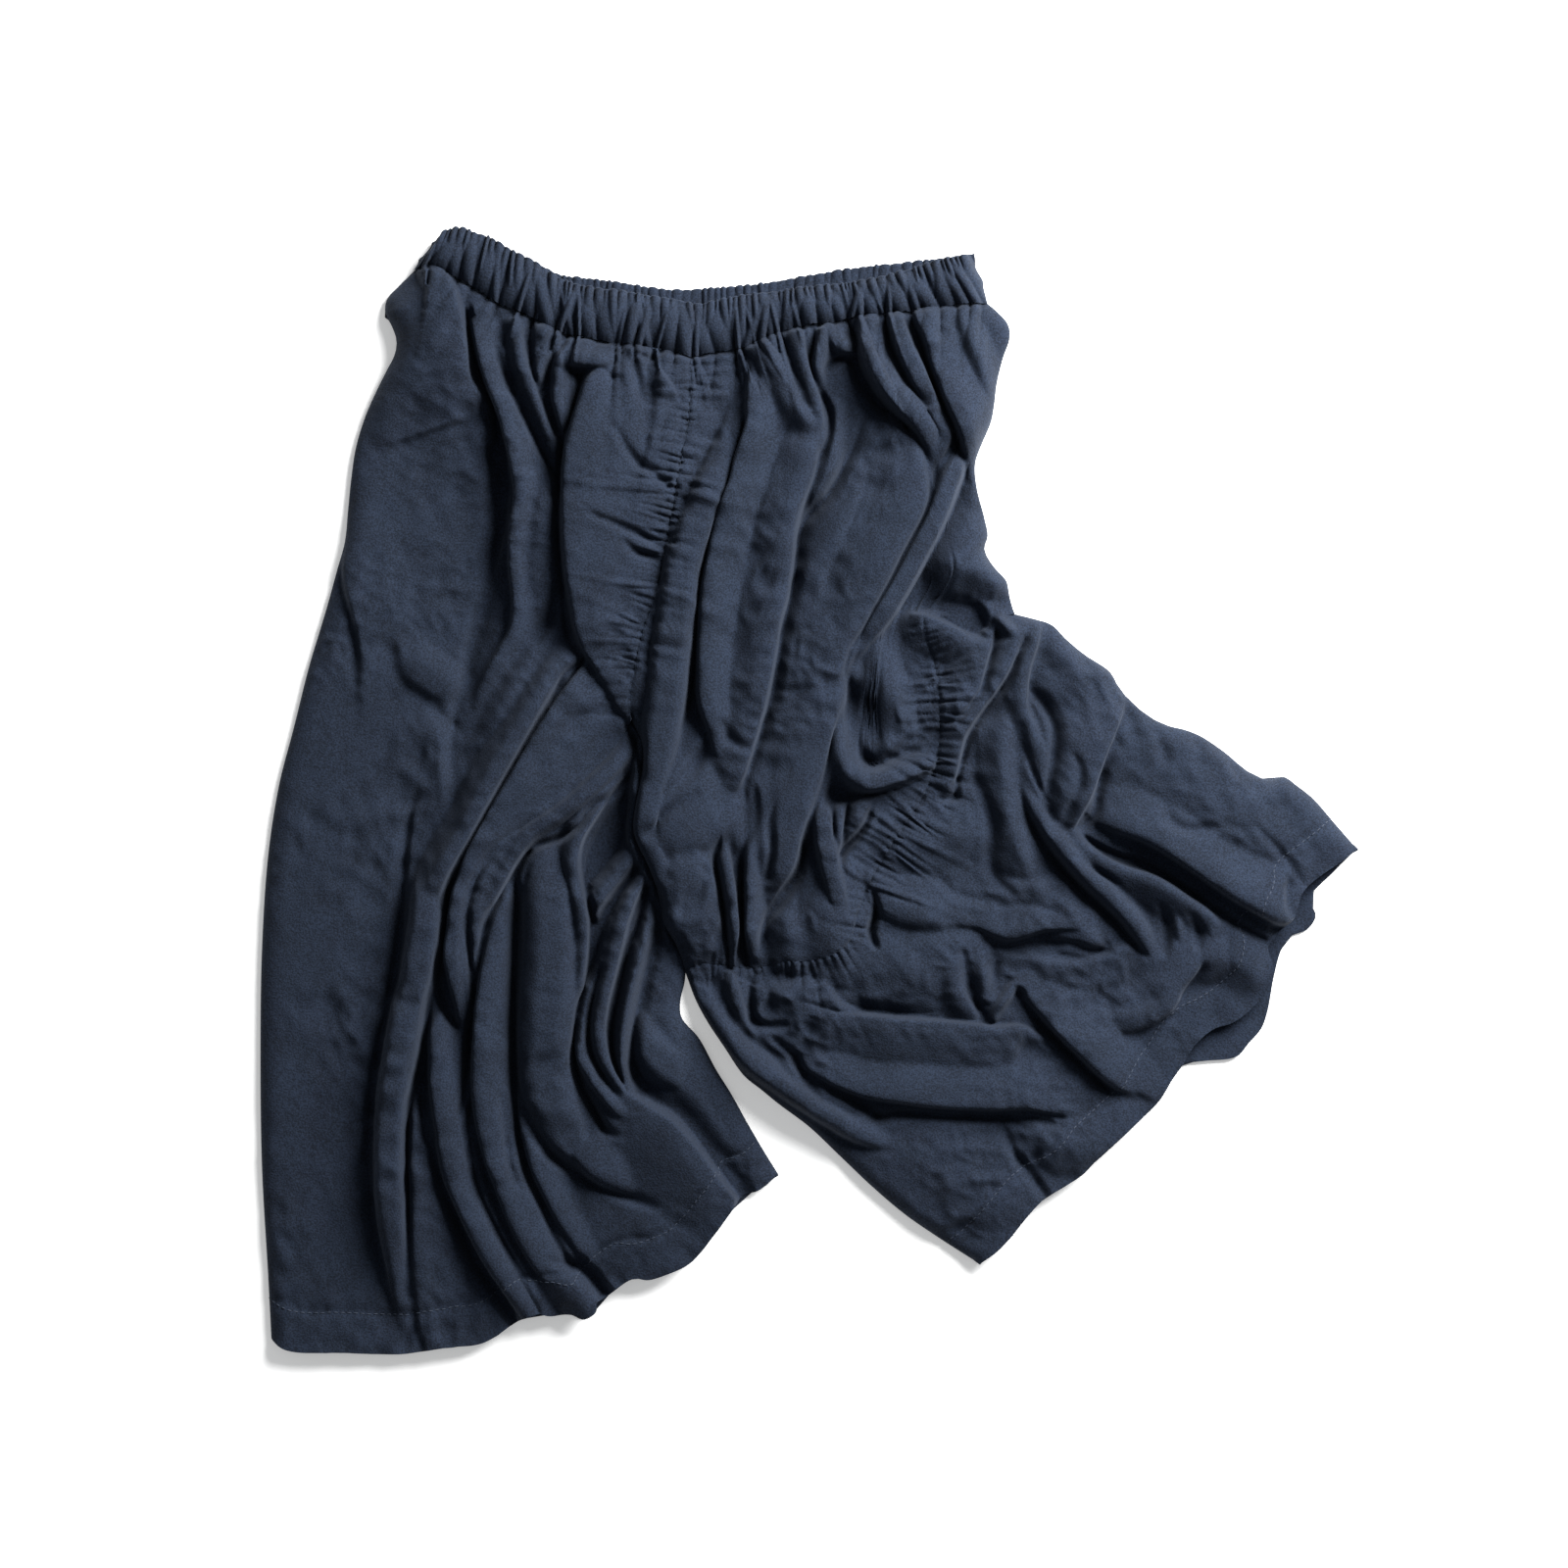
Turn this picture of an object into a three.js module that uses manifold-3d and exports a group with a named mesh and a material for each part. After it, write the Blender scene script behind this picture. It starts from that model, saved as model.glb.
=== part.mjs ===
// Wide-leg bermuda shorts, laid out on their back with both legs rumpled.
//
// The garment is cut like this: a gathered elastic waistband (front and back half), a left front and a
// left back leg panel, a right front and a right back leg panel down to a shirred knee seam, and a
// wide lower panel (front and back) gathered on to that seam. The left leg is twisted, so its inseam lies
// on top and its back panel wraps round the inner edge of the leg.
//
// Frame: +Z up, the cloth lies on z = 0, +Y towards the waistband, +X towards the right leg's hem.
// Units are millimetres. Every cloth piece is a wall with its own thickness. The back pieces lie flat;
// the front pieces stand over them as a surface of height over the plan, lifted by the folds below.

import * as THREE from "three";
import { mergeVertices } from "three/addons/utils/BufferGeometryUtils.js";
import Module from "manifold-3d";

const manifold = await Module();
manifold.setup();

// ---- driving dimensions -------------------------------------------------------------------------
const CLOTH = 1.6; // wall of a back piece, lying on the surface
const WALL = 2.0; // wall of a front piece, measured upright
const SEAM_GAP = 0.45; // space left on each side of a seam
const REST_GAP = 0.35; // space between a front piece's closed edge and the back piece under it
const LOFT = 11; // top of the front where no fold lifts it
const EDGE_TOP = CLOTH + REST_GAP + WALL; // top of a front piece along an edge that is closed
const BAND_WALL = 2.6; // waistband: two layers of cloth with the elastic between them
const BAND_DEPTH = 32; // from the top edge of the waistband down to its seam
const PLEAT_PITCH = 11; // spacing of the waistband's gathers
const FRONT_PLEAT = 2.4; // height of a gather in the front waistband
const BACK_PLEAT = 1.4; // and in the back one, which is pressed on the surface

// ---- seams and edges in plan, each a smooth curve through [x, y] ---------------------------------
const EDGES = {
  bandTop: [[-241, 349], [-232, 357], [-221, 357], [-204, 351], [-185, 341], [-165, 331], [-148, 322],
    [-128, 318], [-100, 314], [-72, 309], [-45, 314], [-15, 319], [20, 322], [45, 328], [75, 336], [103, 342]],
  waistSeam: [[-252, 334], [-240, 336], [-225, 330], [-205, 318], [-180, 305], [-160, 295], [-130, 289],
    [-100, 283], [-76, 279], [-50, 281], [-30, 288], [0, 299], [30, 303], [60, 307], [90, 311], [113, 312]],
  backTop: [[-241, 351], [-230, 356], [-205, 350], [-180, 337], [-158, 328], [-120, 324], [-80, 320],
    [-40, 322], [0, 329], [40, 335], [75, 339], [105, 343]],
  leftSide: [[-252, 334], [-262, 325], [-270, 314], [-270, 301], [-265, 289], [-269, 271], [-280, 251],
    [-288, 227], [-294, 195], [-297, 160], [-304, 138], [-313, 103], [-322, 72], [-332, 33], [-340, 0],
    [-346, -45], [-349, -90], [-350, -160], [-349, -240], [-346, -300], [-343, -350]],
  leftHem: [[-343, -350], [-331, -357], [-300, -358], [-265, -359], [-238, -356], [-208, -351],
    [-190, -341], [-170, -332]],
  turnedHem: [[-170, -332], [-146, -335], [-136, -329], [-118, -315], [-102, -311], [-76, -300],
    [-60, -282], [-46, -261], [-32, -254], [-20, -245]],
  backHem: [[-343, -350], [-331, -356], [-265, -357], [-208, -350], [-173, -331], [-140, -325],
    [-110, -309], [-78, -292], [-46, -262], [-32, -254], [-20, -245]],
  centreSeam: [[-76, 279], [-76, 250], [-79, 225], [-84, 200], [-88, 175], [-93, 150], [-98, 125],
    [-104, 90], [-110, 62], [-112, 46]],
  inseam: [[-112, 46], [-122, 35], [-138, 17], [-158, -2], [-182, -21], [-202, -34], [-214, -52],
    [-220, -85], [-221, -130], [-219, -180], [-217, -215], [-212, -248], [-200, -276], [-186, -303],
    [-170, -332]],
  leftInner: [[-112, 46], [-108, 30], [-111, 0], [-115, -22], [-106, -48], [-99, -72], [-94, -92],
    [-84, -106], [-83, -118], [-84, -133], [-81, -147], [-68, -160], [-55, -185], [-38, -212], [-20, -245]],
  rightInner: [[-112, 46], [-105, 30], [-108, 0], [-112, -22], [-103, -48], [-96, -72], [-91, -92],
    [-81, -104], [-80, -113]],
  kneeSeam: [[-80, -113], [-60, -109], [-35, -111], [-10, -106], [15, -101], [30, -91], [35, -72],
    [44, -45], [58, -23], [75, 0], [83, 22], [85, 48], [84, 74], [82, 95], [83, 111]],
  tuckedEdge: [[83, 111], [95, 108], [106, 107], [117, 110], [130, 114]],
  rightSide: [[113, 312], [120, 306], [129, 295], [125, 280], [119, 258], [116, 237], [106, 212],
    [107, 195], [114, 167], [113, 153], [126, 138], [130, 114]],
  foldedEdge: [[130, 114], [143, 112], [156, 106], [180, 84], [194, 75], [205, 58], [226, 43], [246, 38],
    [268, 25], [284, 11], [303, 10], [322, -3], [351, -36]],
  innerEdge: [[-80, -113], [-72, -135], [-58, -158], [-42, -182], [-20, -197], [12, -221], [32, -247],
    [60, -268], [85, -286], [108, -301]],
  rightHem: [[108, -301], [126, -287], [140, -268], [152, -256], [175, -243], [200, -220],
    [220, -200], [237, -174], [250, -156], [268, -148], [290, -128], [296, -112], [293, -99],
    [303, -87], [316, -63], [333, -50], [351, -36]],
  backRightHem: [[108, -301], [140, -268], [175, -243], [220, -200], [237, -175], [262, -171],
    [274, -168], [290, -150], [297, -120], [303, -100], [318, -88], [325, -76], [319, -66], [336, -49],
    [351, -36]],
};

// ---- the largest folds ---------------------------------------------------------------------------
// Each runs down or across the cloth through [x, y, lift]. "west" and "east" are how far its two
// flanks reach: on a fold that runs down, to -X and +X; on one that runs to +X, below and above it.
const FOLDS = [
  { name: "hip tuck", west: 12, east: 34, line: [[-262, 292, 3], [-255, 268, 6], [-252, 245, 2]] },
  { name: "outer pleat", west: 30, east: 9, line: [[-234, 330, 3], [-228, 305, 9], [-226, 275, 9], [-216, 250, 4], [-208, 210, 2]] },
  { name: "hip trough", west: 20, east: 8, line: [[-216, 268, -2], [-203, 240, -7], [-198, 205, -9], [-197, 165, -8], [-202, 130, -5], [-212, 95, -4]] },
  { name: "second pleat", west: 8, east: 14, line: [[-212, 306, 6], [-206, 275, 11], [-195, 238, 12], [-186, 205, 12], [-186, 170, 8], [-188, 130, 5]] },
  { name: "third pleat", west: 8, east: 8, line: [[-186, 300, 5], [-184, 270, 8], [-174, 245, 5]] },
  { name: "fourth pleat", west: 8, east: 12, line: [[-169, 295, 5], [-168, 268, 8], [-163, 235, 5]] },
  { name: "left of centre edge", west: 11, east: 58, line: [[-137, 268, 5], [-148, 235, 13], [-150, 200, 15], [-150, 160, 15], [-146, 120, 14], [-140, 95, 13], [-124, 66, 10], [-112, 48, 4]] },
  { name: "band overhang", west: 9, east: 14, line: [[-158, 276, 3], [-140, 275, 8], [-118, 268, 8], [-104, 270, 3]] },
  { name: "centre roll", west: 10, east: 20, line: [[-42, 244, 4], [-55, 212, 10], [-68, 185, 13], [-80, 150, 15], [-92, 115, 16], [-95, 80, 16], [-92, 50, 14], [-96, 20, 14], [-102, -10, 13], [-102, -30, 12], [-92, -60, 11], [-86, -88, 6]] },
  { name: "roll crevice", west: 7, east: 9, line: [[-62, 165, -4], [-68, 140, -9], [-72, 105, -11], [-76, 75, -10], [-76, 45, -5]] },
  { name: "centre drape", west: 16, east: 30, line: [[-33, 272, 5], [-36, 240, 11], [-45, 195, 13], [-52, 150, 13], [-55, 110, 12], [-58, 70, 12], [-62, 35, 11], [-72, 0, 11], [-76, -30, 11], [-72, -70, 8], [-68, -98, 3]] },
  { name: "centre drape east", west: 34, east: 12, line: [[-12, 255, 4], [-6, 225, 8], [-14, 190, 10], [-20, 140, 11], [-28, 90, 11], [-38, 40, 10], [-48, 0, 6]] },
  { name: "centre pleat", west: 9, east: 9, line: [[0, 292, 5], [3, 265, 8], [8, 240, 8], [7, 222, 3]] },
  { name: "right pleat", west: 12, east: 18, line: [[36, 302, 5], [40, 274, 11], [52, 254, 13], [68, 238, 13], [78, 222, 6]] },
  { name: "far right pleat", west: 10, east: 12, line: [[56, 304, 5], [64, 276, 10], [74, 254, 11], [82, 232, 6]] },
  { name: "hip pleat", west: 9, east: 26, line: [[70, 304, 5], [80, 274, 10], [91, 248, 13], [98, 222, 12], [101, 206, 5]] },
  { name: "right panel edge", west: 46, east: 10, line: [[66, 216, 6], [66, 186, 12], [52, 156, 13], [38, 126, 14], [22, 92, 14], [13, 55, 14], [4, 15, 13], [-6, -15, 12], [-16, -42, 9], [-30, -66, 4]] },
  { name: "long roll", west: 8, east: 9, line: [[95, 206, 5], [82, 176, 9], [64, 140, 9], [48, 112, 8], [32, 90, 4]] },
  { name: "side swell", west: 16, east: 18, line: [[76, 146, 2], [96, 142, 5], [118, 134, 3]] },
  { name: "pinched ridge", west: 22, east: 9, line: [[44, 95, 4], [50, 74, 9], [58, 46, 5]] },
  { name: "knee bag", west: 9, east: 12, line: [[16, 44, 5], [24, 24, 10], [40, 15, 11], [62, 12, 5]] },
  { name: "knee ridge", west: 9, east: 12, line: [[12, -4, 5], [15, -32, 8], [22, -62, 6], [26, -86, 3]] },
  { name: "lower shoulder", west: 18, east: 12, line: [[66, 112, 5], [88, 104, 9], [104, 92, 9], [104, 68, 8], [92, 50, 4]] },
  { name: "lower fold one", west: 14, east: 9, line: [[134, 108, 6], [128, 86, 11], [114, 62, 11], [100, 34, 10], [94, 8, 4]] },
  { name: "lower fold two", west: 14, east: 20, line: [[140, 100, 4], [134, 66, 7], [122, 30, 8], [121, -8, 8], [130, -50, 6], [140, -72, 2]] },
  { name: "big facet", west: 40, east: 11, line: [[198, 66, 7], [188, 38, 13], [178, 8, 14], [168, -16, 8]] },
  { name: "facet trough", west: 8, east: 9, line: [[146, 60, -3], [150, 30, -8], [153, 0, -9], [156, -18, -4]] },
  { name: "sharp ridge", west: 10, east: 12, line: [[136, 0, 6], [150, -18, 12], [172, -42, 13], [196, -64, 12], [214, -88, 10], [220, -102, 4]] },
  { name: "ridge trough", west: 12, east: 9, line: [[142, -22, -5], [160, -48, -8], [182, -74, -8], [202, -92, -4]] },
  { name: "lobe ridge", west: 30, east: 10, line: [[174, -36, 4], [200, -54, 8], [228, -64, 11], [246, -78, 12], [258, -92, 9]] },
  { name: "deep trough", west: 10, east: 11, line: [[186, -36, -4], [214, -46, -8], [244, -62, -9], [274, -82, -9], [292, -98, -6]] },
  { name: "hem roll", west: 12, east: 26, line: [[192, -20, 4], [220, -34, 10], [252, -46, 15], [284, -62, 16], [308, -76, 14]] },
  { name: "outer puff", west: 26, east: 30, line: [[206, 30, 3], [232, 8, 6], [262, 4, 6], [296, -10, 4]] },
  { name: "s fold", west: 10, east: 26, line: [[84, -82, 3], [116, -86, 7], [140, -84, 8], [172, -84, 8], [194, -92, 4]] },
  { name: "lens fold", west: 14, east: 12, line: [[100, -100, 4], [106, -120, 6], [114, -140, 5]] },
  { name: "diagonal ridge", west: 11, east: 30, line: [[132, -122, 5], [150, -136, 10], [170, -156, 12], [192, -176, 9], [208, -186, 4]] },
  { name: "long trough", west: 9, east: 8, line: [[128, -134, -4], [146, -146, -8], [168, -166, -8], [190, -186, -5]] },
  { name: "upper shelf", west: 34, east: 10, line: [[-18, -134, 5], [14, -142, 8], [50, -150, 9], [90, -154, 9], [126, -158, 5]] },
  { name: "lower shelf", west: 11, east: 34, line: [[40, -186, 3], [70, -192, 8], [104, -195, 9], [136, -197, 8], [158, -204, 3]] },
  { name: "inner roll", west: 14, east: 12, line: [[-66, -122, 5], [-52, -146, 8], [-36, -168, 8], [-8, -184, 7], [24, -204, 5], [60, -214, 2]] },
  { name: "hem swell", west: 12, east: 34, line: [[142, -212, 4], [148, -234, 8], [155, -252, 5]] },
  { name: "hem ridge", west: 12, east: 12, line: [[202, -150, 3], [224, -140, 7], [240, -118, 7], [250, -108, 3]] },
  { name: "first long fold", west: 10, east: 15, line: [[-152, 92, 6], [-172, 66, 10], [-196, 28, 12], [-218, -10, 13], [-236, -42, 13], [-246, -68, 12], [-250, -100, 11], [-256, -150, 11], [-263, -200, 12], [-267, -250, 12], [-265, -290, 9], [-260, -320, 4]] },
  { name: "first crevice", west: 7, east: 7, line: [[-152, 76, -4], [-174, 44, -8], [-198, 4, -9], [-220, -36, -9], [-234, -74, -8], [-240, -120, -6], [-248, -170, -9], [-256, -210, -9], [-260, -260, -9], [-258, -304, -5]] },
  { name: "seam fold", west: 12, east: 14, line: [[-134, 60, 6], [-156, 28, 9], [-184, -6, 10], [-208, -34, 10], [-222, -62, 10], [-227, -100, 9], [-230, -134, 6]] },
  { name: "twist fold", west: 9, east: 9, line: [[-122, 12, 5], [-146, -12, 8], [-176, -34, 8], [-200, -62, 9], [-210, -90, 7]] },
  { name: "crotch hollow", west: 16, east: 16, line: [[-116, 14, -5], [-128, -22, -9], [-128, -52, -8], [-112, -90, -8], [-108, -130, -5]] },
  { name: "broad fold", west: 10, east: 14, line: [[-150, -34, 6], [-168, -60, 12], [-166, -100, 14], [-168, -150, 14], [-166, -190, 13], [-158, -224, 10], [-148, -262, 7], [-130, -290, 4]] },
  { name: "broad crevice", west: 9, east: 7, line: [[-184, -50, -5], [-190, -96, -9], [-193, -150, -9], [-192, -210, -8], [-180, -252, -8], [-168, -284, -5]] },
  { name: "middle fold", west: 10, east: 10, line: [[-212, -92, 4], [-207, -140, 9], [-205, -190, 10], [-202, -236, 9], [-190, -270, 8], [-176, -300, 8], [-158, -326, 6]] },
  { name: "lower fold", west: 9, east: 12, line: [[-238, -150, 4], [-234, -190, 10], [-230, -232, 11], [-214, -264, 10], [-196, -292, 8], [-180, -318, 5]] },
  { name: "lower hollow", west: 8, east: 8, line: [[-246, -168, -4], [-246, -205, -8], [-240, -240, -6], [-222, -276, -7], [-206, -306, -8], [-192, -334, -7]] },
  { name: "inner ridge one", west: 7, east: 8, line: [[-140, -74, 4], [-142, -110, 7], [-139, -150, 8], [-132, -182, 6]] },
  { name: "inner ridge two", west: 8, east: 8, line: [[-112, -64, 5], [-120, -100, 8], [-123, -150, 8], [-120, -186, 6]] },
  { name: "turned lobe", west: 40, east: 9, line: [[-146, -160, 4], [-132, -190, 9], [-104, -206, 10], [-86, -220, 11], [-66, -244, 10], [-54, -262, 7]] },
  { name: "lobe step", west: 9, east: 22, line: [[-158, -192, 4], [-146, -222, 8], [-132, -238, 7], [-108, -254, 3]] },
];

// ---- curves, patches and walls -------------------------------------------------------------------
const smooth = (points) =>
  new THREE.CatmullRomCurve3(points.map(([x, y, z = 0]) => new THREE.Vector3(x, y, z)), false, "centripetal");

const CURVES = Object.fromEntries(Object.entries(EDGES).map(([name, points]) => [name, smooth(points)]));

/** Two curves one after the other, the first taking a share of the way. */
function joined(first, second, share) {
  return {
    getPointAt: (t) => (t < share ? first.getPointAt(t / share) : second.getPointAt((t - share) / (1 - share))),
    getLength: () => first.getLength() + second.getLength(),
  };
}

/** The same curve run the other way. */
function reversed(curve) {
  return { getPointAt: (t) => curve.getPointAt(1 - t), getLength: () => curve.getLength() };
}

/** The part of a curve between two shares of its length. */
function part(curve, from, to) {
  return {
    getPointAt: (t) => curve.getPointAt(from + t * (to - from)),
    getLength: () => (to - from) * curve.getLength(),
  };
}

/** The point (u, v) of the patch between four edges: top and bottom run with u, left and right with v. */
function coons({ top, bottom, left, right }) {
  const corner = [left.getPointAt(0), right.getPointAt(0), left.getPointAt(1), right.getPointAt(1)];
  return (u, v) => {
    const [t, b] = [top.getPointAt(u), bottom.getPointAt(u)];
    const [l, r] = [left.getPointAt(v), right.getPointAt(v)];
    const blend = (k) =>
      (1 - v) * t[k] + v * b[k] + (1 - u) * l[k] + u * r[k] -
      (1 - u) * ((1 - v) * corner[0][k] + v * corner[2][k]) -
      u * ((1 - v) * corner[1][k] + v * corner[3][k]);
    return [blend("x"), blend("y")];
  };
}

/** Nearest place on a line of points [x, y, lift]: distance, side (+1 to the west) and lift there. */
function nearest(line, x, y) {
  let best = { distance: Infinity, side: 1, lift: 0 };
  for (let i = 1; i < line.length; i++) {
    const [a, b] = [line[i - 1], line[i]];
    const [dx, dy] = [b.x - a.x, b.y - a.y];
    const t = THREE.MathUtils.clamp(((x - a.x) * dx + (y - a.y) * dy) / (dx * dx + dy * dy), 0, 1);
    const distance = Math.hypot(x - a.x - t * dx, y - a.y - t * dy);
    if (distance < best.distance) {
      const side = dx * (y - a.y) - dy * (x - a.x) < 0 ? 1 : -1;
      best = { distance, side, lift: a.z + t * (b.z - a.z) };
    }
  }
  return best;
}

const FOLD_STEPS = 28;
const foldLines = FOLDS.map((fold) => ({ ...fold, points: smooth(fold.line).getPoints(FOLD_STEPS) }));
const bump = (share) => (share < 1 ? 0.5 * (1 + Math.cos(Math.PI * share)) : 0);

/** How far the folds lift the cloth over a place in plan. */
function foldLift(x, y) {
  return foldLines.reduce((sum, fold) => {
    const near = nearest(fold.points, x, y);
    return sum + near.lift * bump(near.distance / (near.side > 0 ? fold.west : fold.east));
  }, 0);
}

/** Height function of a front piece that comes down to the surface along its closed edges. */
function frontHeight(closedEdges) {
  const edges = closedEdges.map(([curve, reach]) => ({ points: curve.getPoints(60), reach }));
  return (x, y) => {
    const shares = edges.map((edge) => Math.min(1, nearest(edge.points, x, y).distance / edge.reach));
    const inside = Math.sin((Math.PI / 2) * Math.min(1, ...shares));
    return Math.max(EDGE_TOP, EDGE_TOP + inside * (LOFT - EDGE_TOP + foldLift(x, y)));
  };
}

/** A closed wall between two grids of points, outer and inner, each rows of [x, y, z]. */
function wall(outer, inner) {
  const [rows, columns] = [outer.length, outer[0].length];
  const positions = [...outer.flat(2), ...inner.flat(2)];
  const at = (layer, r, c) => layer * rows * columns + r * columns + c;
  const index = [];
  const quad = (a, b, c, d) => index.push(a, b, c, a, c, d);
  for (let r = 0; r + 1 < rows; r++)
    for (let c = 0; c + 1 < columns; c++) {
      quad(at(0, r, c), at(0, r + 1, c), at(0, r + 1, c + 1), at(0, r, c + 1));
      quad(at(1, r, c), at(1, r, c + 1), at(1, r + 1, c + 1), at(1, r + 1, c));
    }
  for (let r = 0; r + 1 < rows; r++) {
    quad(at(0, r, 0), at(1, r, 0), at(1, r + 1, 0), at(0, r + 1, 0));
    quad(at(0, r, columns - 1), at(0, r + 1, columns - 1), at(1, r + 1, columns - 1), at(1, r, columns - 1));
  }
  for (let c = 0; c + 1 < columns; c++) {
    quad(at(0, 0, c), at(0, 0, c + 1), at(1, 0, c + 1), at(1, 0, c));
    quad(at(0, rows - 1, c), at(1, rows - 1, c), at(1, rows - 1, c + 1), at(0, rows - 1, c + 1));
  }
  const geometry = new THREE.BufferGeometry();
  geometry.setAttribute("position", new THREE.Float32BufferAttribute(positions, 3));
  geometry.setIndex(index);
  return geometry;
}

/** A front piece: the patch between four edges, as a wall under a height function. */
function frontWall(edges, height, columns, rows, thickness = WALL) {
  const place = coons(edges);
  const width = Math.max(edges.top.getLength(), edges.bottom.getLength(), 40);
  const depth = Math.max(edges.left.getLength(), edges.right.getLength(), 20);
  const inset = (share, length) => THREE.MathUtils.clamp(share, SEAM_GAP / length, 1 - SEAM_GAP / length);
  const grid = (drop) =>
    Array.from({ length: rows + 1 }, (_, r) =>
      Array.from({ length: columns + 1 }, (_, c) => {
        const [x, y] = place(inset(c / columns, width), inset(r / rows, depth));
        return [x, y, height(x, y, c) - drop];
      }));
  return wall(grid(0), grid(thickness));
}

/** A back piece: the area inside a run of edges, lying flat. Each edge is [curve, points, reversed]. */
function backSheet(edges) {
  const outline = edges.flatMap(([curve, steps, reversed]) => {
    const points = curve.getSpacedPoints(steps);
    return (reversed ? points.reverse() : points).slice(0, -1);
  });
  const centre = outline.reduce((sum, p) => sum.add(p), new THREE.Vector3()).divideScalar(outline.length);
  const shape = new THREE.Shape(outline.map((p) => {
    const inward = centre.clone().sub(p).setLength(SEAM_GAP);
    return new THREE.Vector2(p.x + inward.x, p.y + inward.y);
  }));
  return new THREE.ExtrudeGeometry(shape, { depth: CLOTH, bevelEnabled: false });
}

/** One body from several overlapping geometries. */
function united(...geometries) {
  const solids = geometries.map((geometry) => {
    const bare = new THREE.BufferGeometry().setAttribute("position", geometry.getAttribute("position"));
    if (geometry.index) bare.setIndex(geometry.index);
    const merged = mergeVertices(bare, 1e-3);
    return new manifold.Manifold(new manifold.Mesh({
      numProp: 3,
      vertProperties: merged.attributes.position.array,
      triVerts: new Uint32Array(merged.index.array),
    }));
  });
  const mesh = solids.reduce((all, solid) => all.add(solid)).getMesh();
  const geometry = new THREE.BufferGeometry();
  geometry.setAttribute("position", new THREE.BufferAttribute(new Float32Array(mesh.vertProperties), 3));
  geometry.setIndex(new THREE.BufferAttribute(new Uint32Array(mesh.triVerts), 1));
  return geometry;
}

// ---- materials and assembly ----------------------------------------------------------------------
const CLOTH_COLOUR = 0x303a4a; // slate navy cotton and linen
const clothFinish = () => new THREE.MeshStandardMaterial({ color: CLOTH_COLOUR, roughness: 0.92, metalness: 0 });
const garment = new THREE.Group();

function addPiece(name, geometry) {
  const mesh = new THREE.Mesh(geometry, clothFinish());
  mesh.name = name;
  garment.add(mesh);
}

// ---- waistband -----------------------------------------------------------------------------------
const pleats = Math.round(CURVES.bandTop.getLength() / PLEAT_PITCH);
const shifted = (curve, dx, dy) => smooth(curve.getSpacedPoints(14).map((p) => [p.x + dx, p.y + dy]));
const straight = (from, to) => new THREE.LineCurve3(from, to);
const between = (a, b, end) => straight(a.getPointAt(end), b.getPointAt(end));

/** Height of a gathered band: every other column is the top of a gather. */
const bandHeight = (low, rise, ends) => (x, y, column) => {
  const fromEnd = Math.min(x - ends[0], ends[1] - x);
  return low + rise * THREE.MathUtils.smoothstep(fromEnd, 0, 40) + (column % 2 ? FRONT_PLEAT : 0);
};

addPiece("waistband_front", frontWall(
  { top: CURVES.bandTop, bottom: CURVES.waistSeam,
    left: between(CURVES.bandTop, CURVES.waistSeam, 0), right: between(CURVES.bandTop, CURVES.waistSeam, 1) },
  bandHeight(EDGE_TOP + BACK_PLEAT + BAND_WALL, LOFT - EDGE_TOP, [-252, 113]), 2 * pleats, 2, BAND_WALL));

const backSeam = shifted(CURVES.backTop, 0, -BAND_DEPTH);
addPiece("waistband_back", (() => {
  const place = coons({ top: CURVES.backTop, bottom: backSeam,
    left: between(CURVES.backTop, backSeam, 0), right: between(CURVES.backTop, backSeam, 1) });
  const rows = [0, 0.5, 0.98];
  const grid = (height) => rows.map((v) =>
    Array.from({ length: 2 * pleats + 1 }, (_, c) => [...place(c / (2 * pleats), v), height(c)]));
  return wall(grid((c) => CLOTH + (c % 2 ? BACK_PLEAT : 0)), grid(() => 0));
})());

// ---- left leg ------------------------------------------------------------------------------------
// Pieces that meet at a seam share their rows there, so that their facets run side by side.
const CENTRE_ROWS = 12;
const INSEAM_ROWS = 20;
const KNEE_ROWS = 20;
const TUCKED_ROWS = 3;
const FOLDED_COLUMNS = 15;
const leftFrontHeight = frontHeight([[CURVES.leftSide, 22]]);
addPiece("left_front", frontWall(
  { top: smooth(EDGES.waistSeam.slice(0, 9)), bottom: CURVES.leftHem,
    left: CURVES.leftSide,
    right: joined(CURVES.centreSeam, CURVES.inseam, CENTRE_ROWS / (CENTRE_ROWS + INSEAM_ROWS)) },
  leftFrontHeight, 16, CENTRE_ROWS + INSEAM_ROWS));

// The turned part of the back panel runs down into the flat part along the leg's inner edge.
const TURN_STARTS = 1 / INSEAM_ROWS; // it begins this share of the way down the inseam
const TURN_REACH = 9; // and comes down to the surface over this width
const innerLine = CURVES.leftInner.getPoints(60);
const turnedHeight = frontHeight([[CURVES.leftInner, 16]]);
const joinedHeight = (x, y) => {
  const fromEdge = nearest(innerLine, x, y).distance;
  const drop = (EDGE_TOP - WALL) * (1 - THREE.MathUtils.smoothstep(fromEdge, 2, TURN_REACH));
  return turnedHeight(x, y) - drop;
};
const leftBackWaist = smooth(backSeam.getSpacedPoints(20).slice(0, 11).map((p) => [p.x, p.y]));
const leftBackCentre = straight(leftBackWaist.getPointAt(1), CURVES.leftInner.getPointAt(0));
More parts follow.
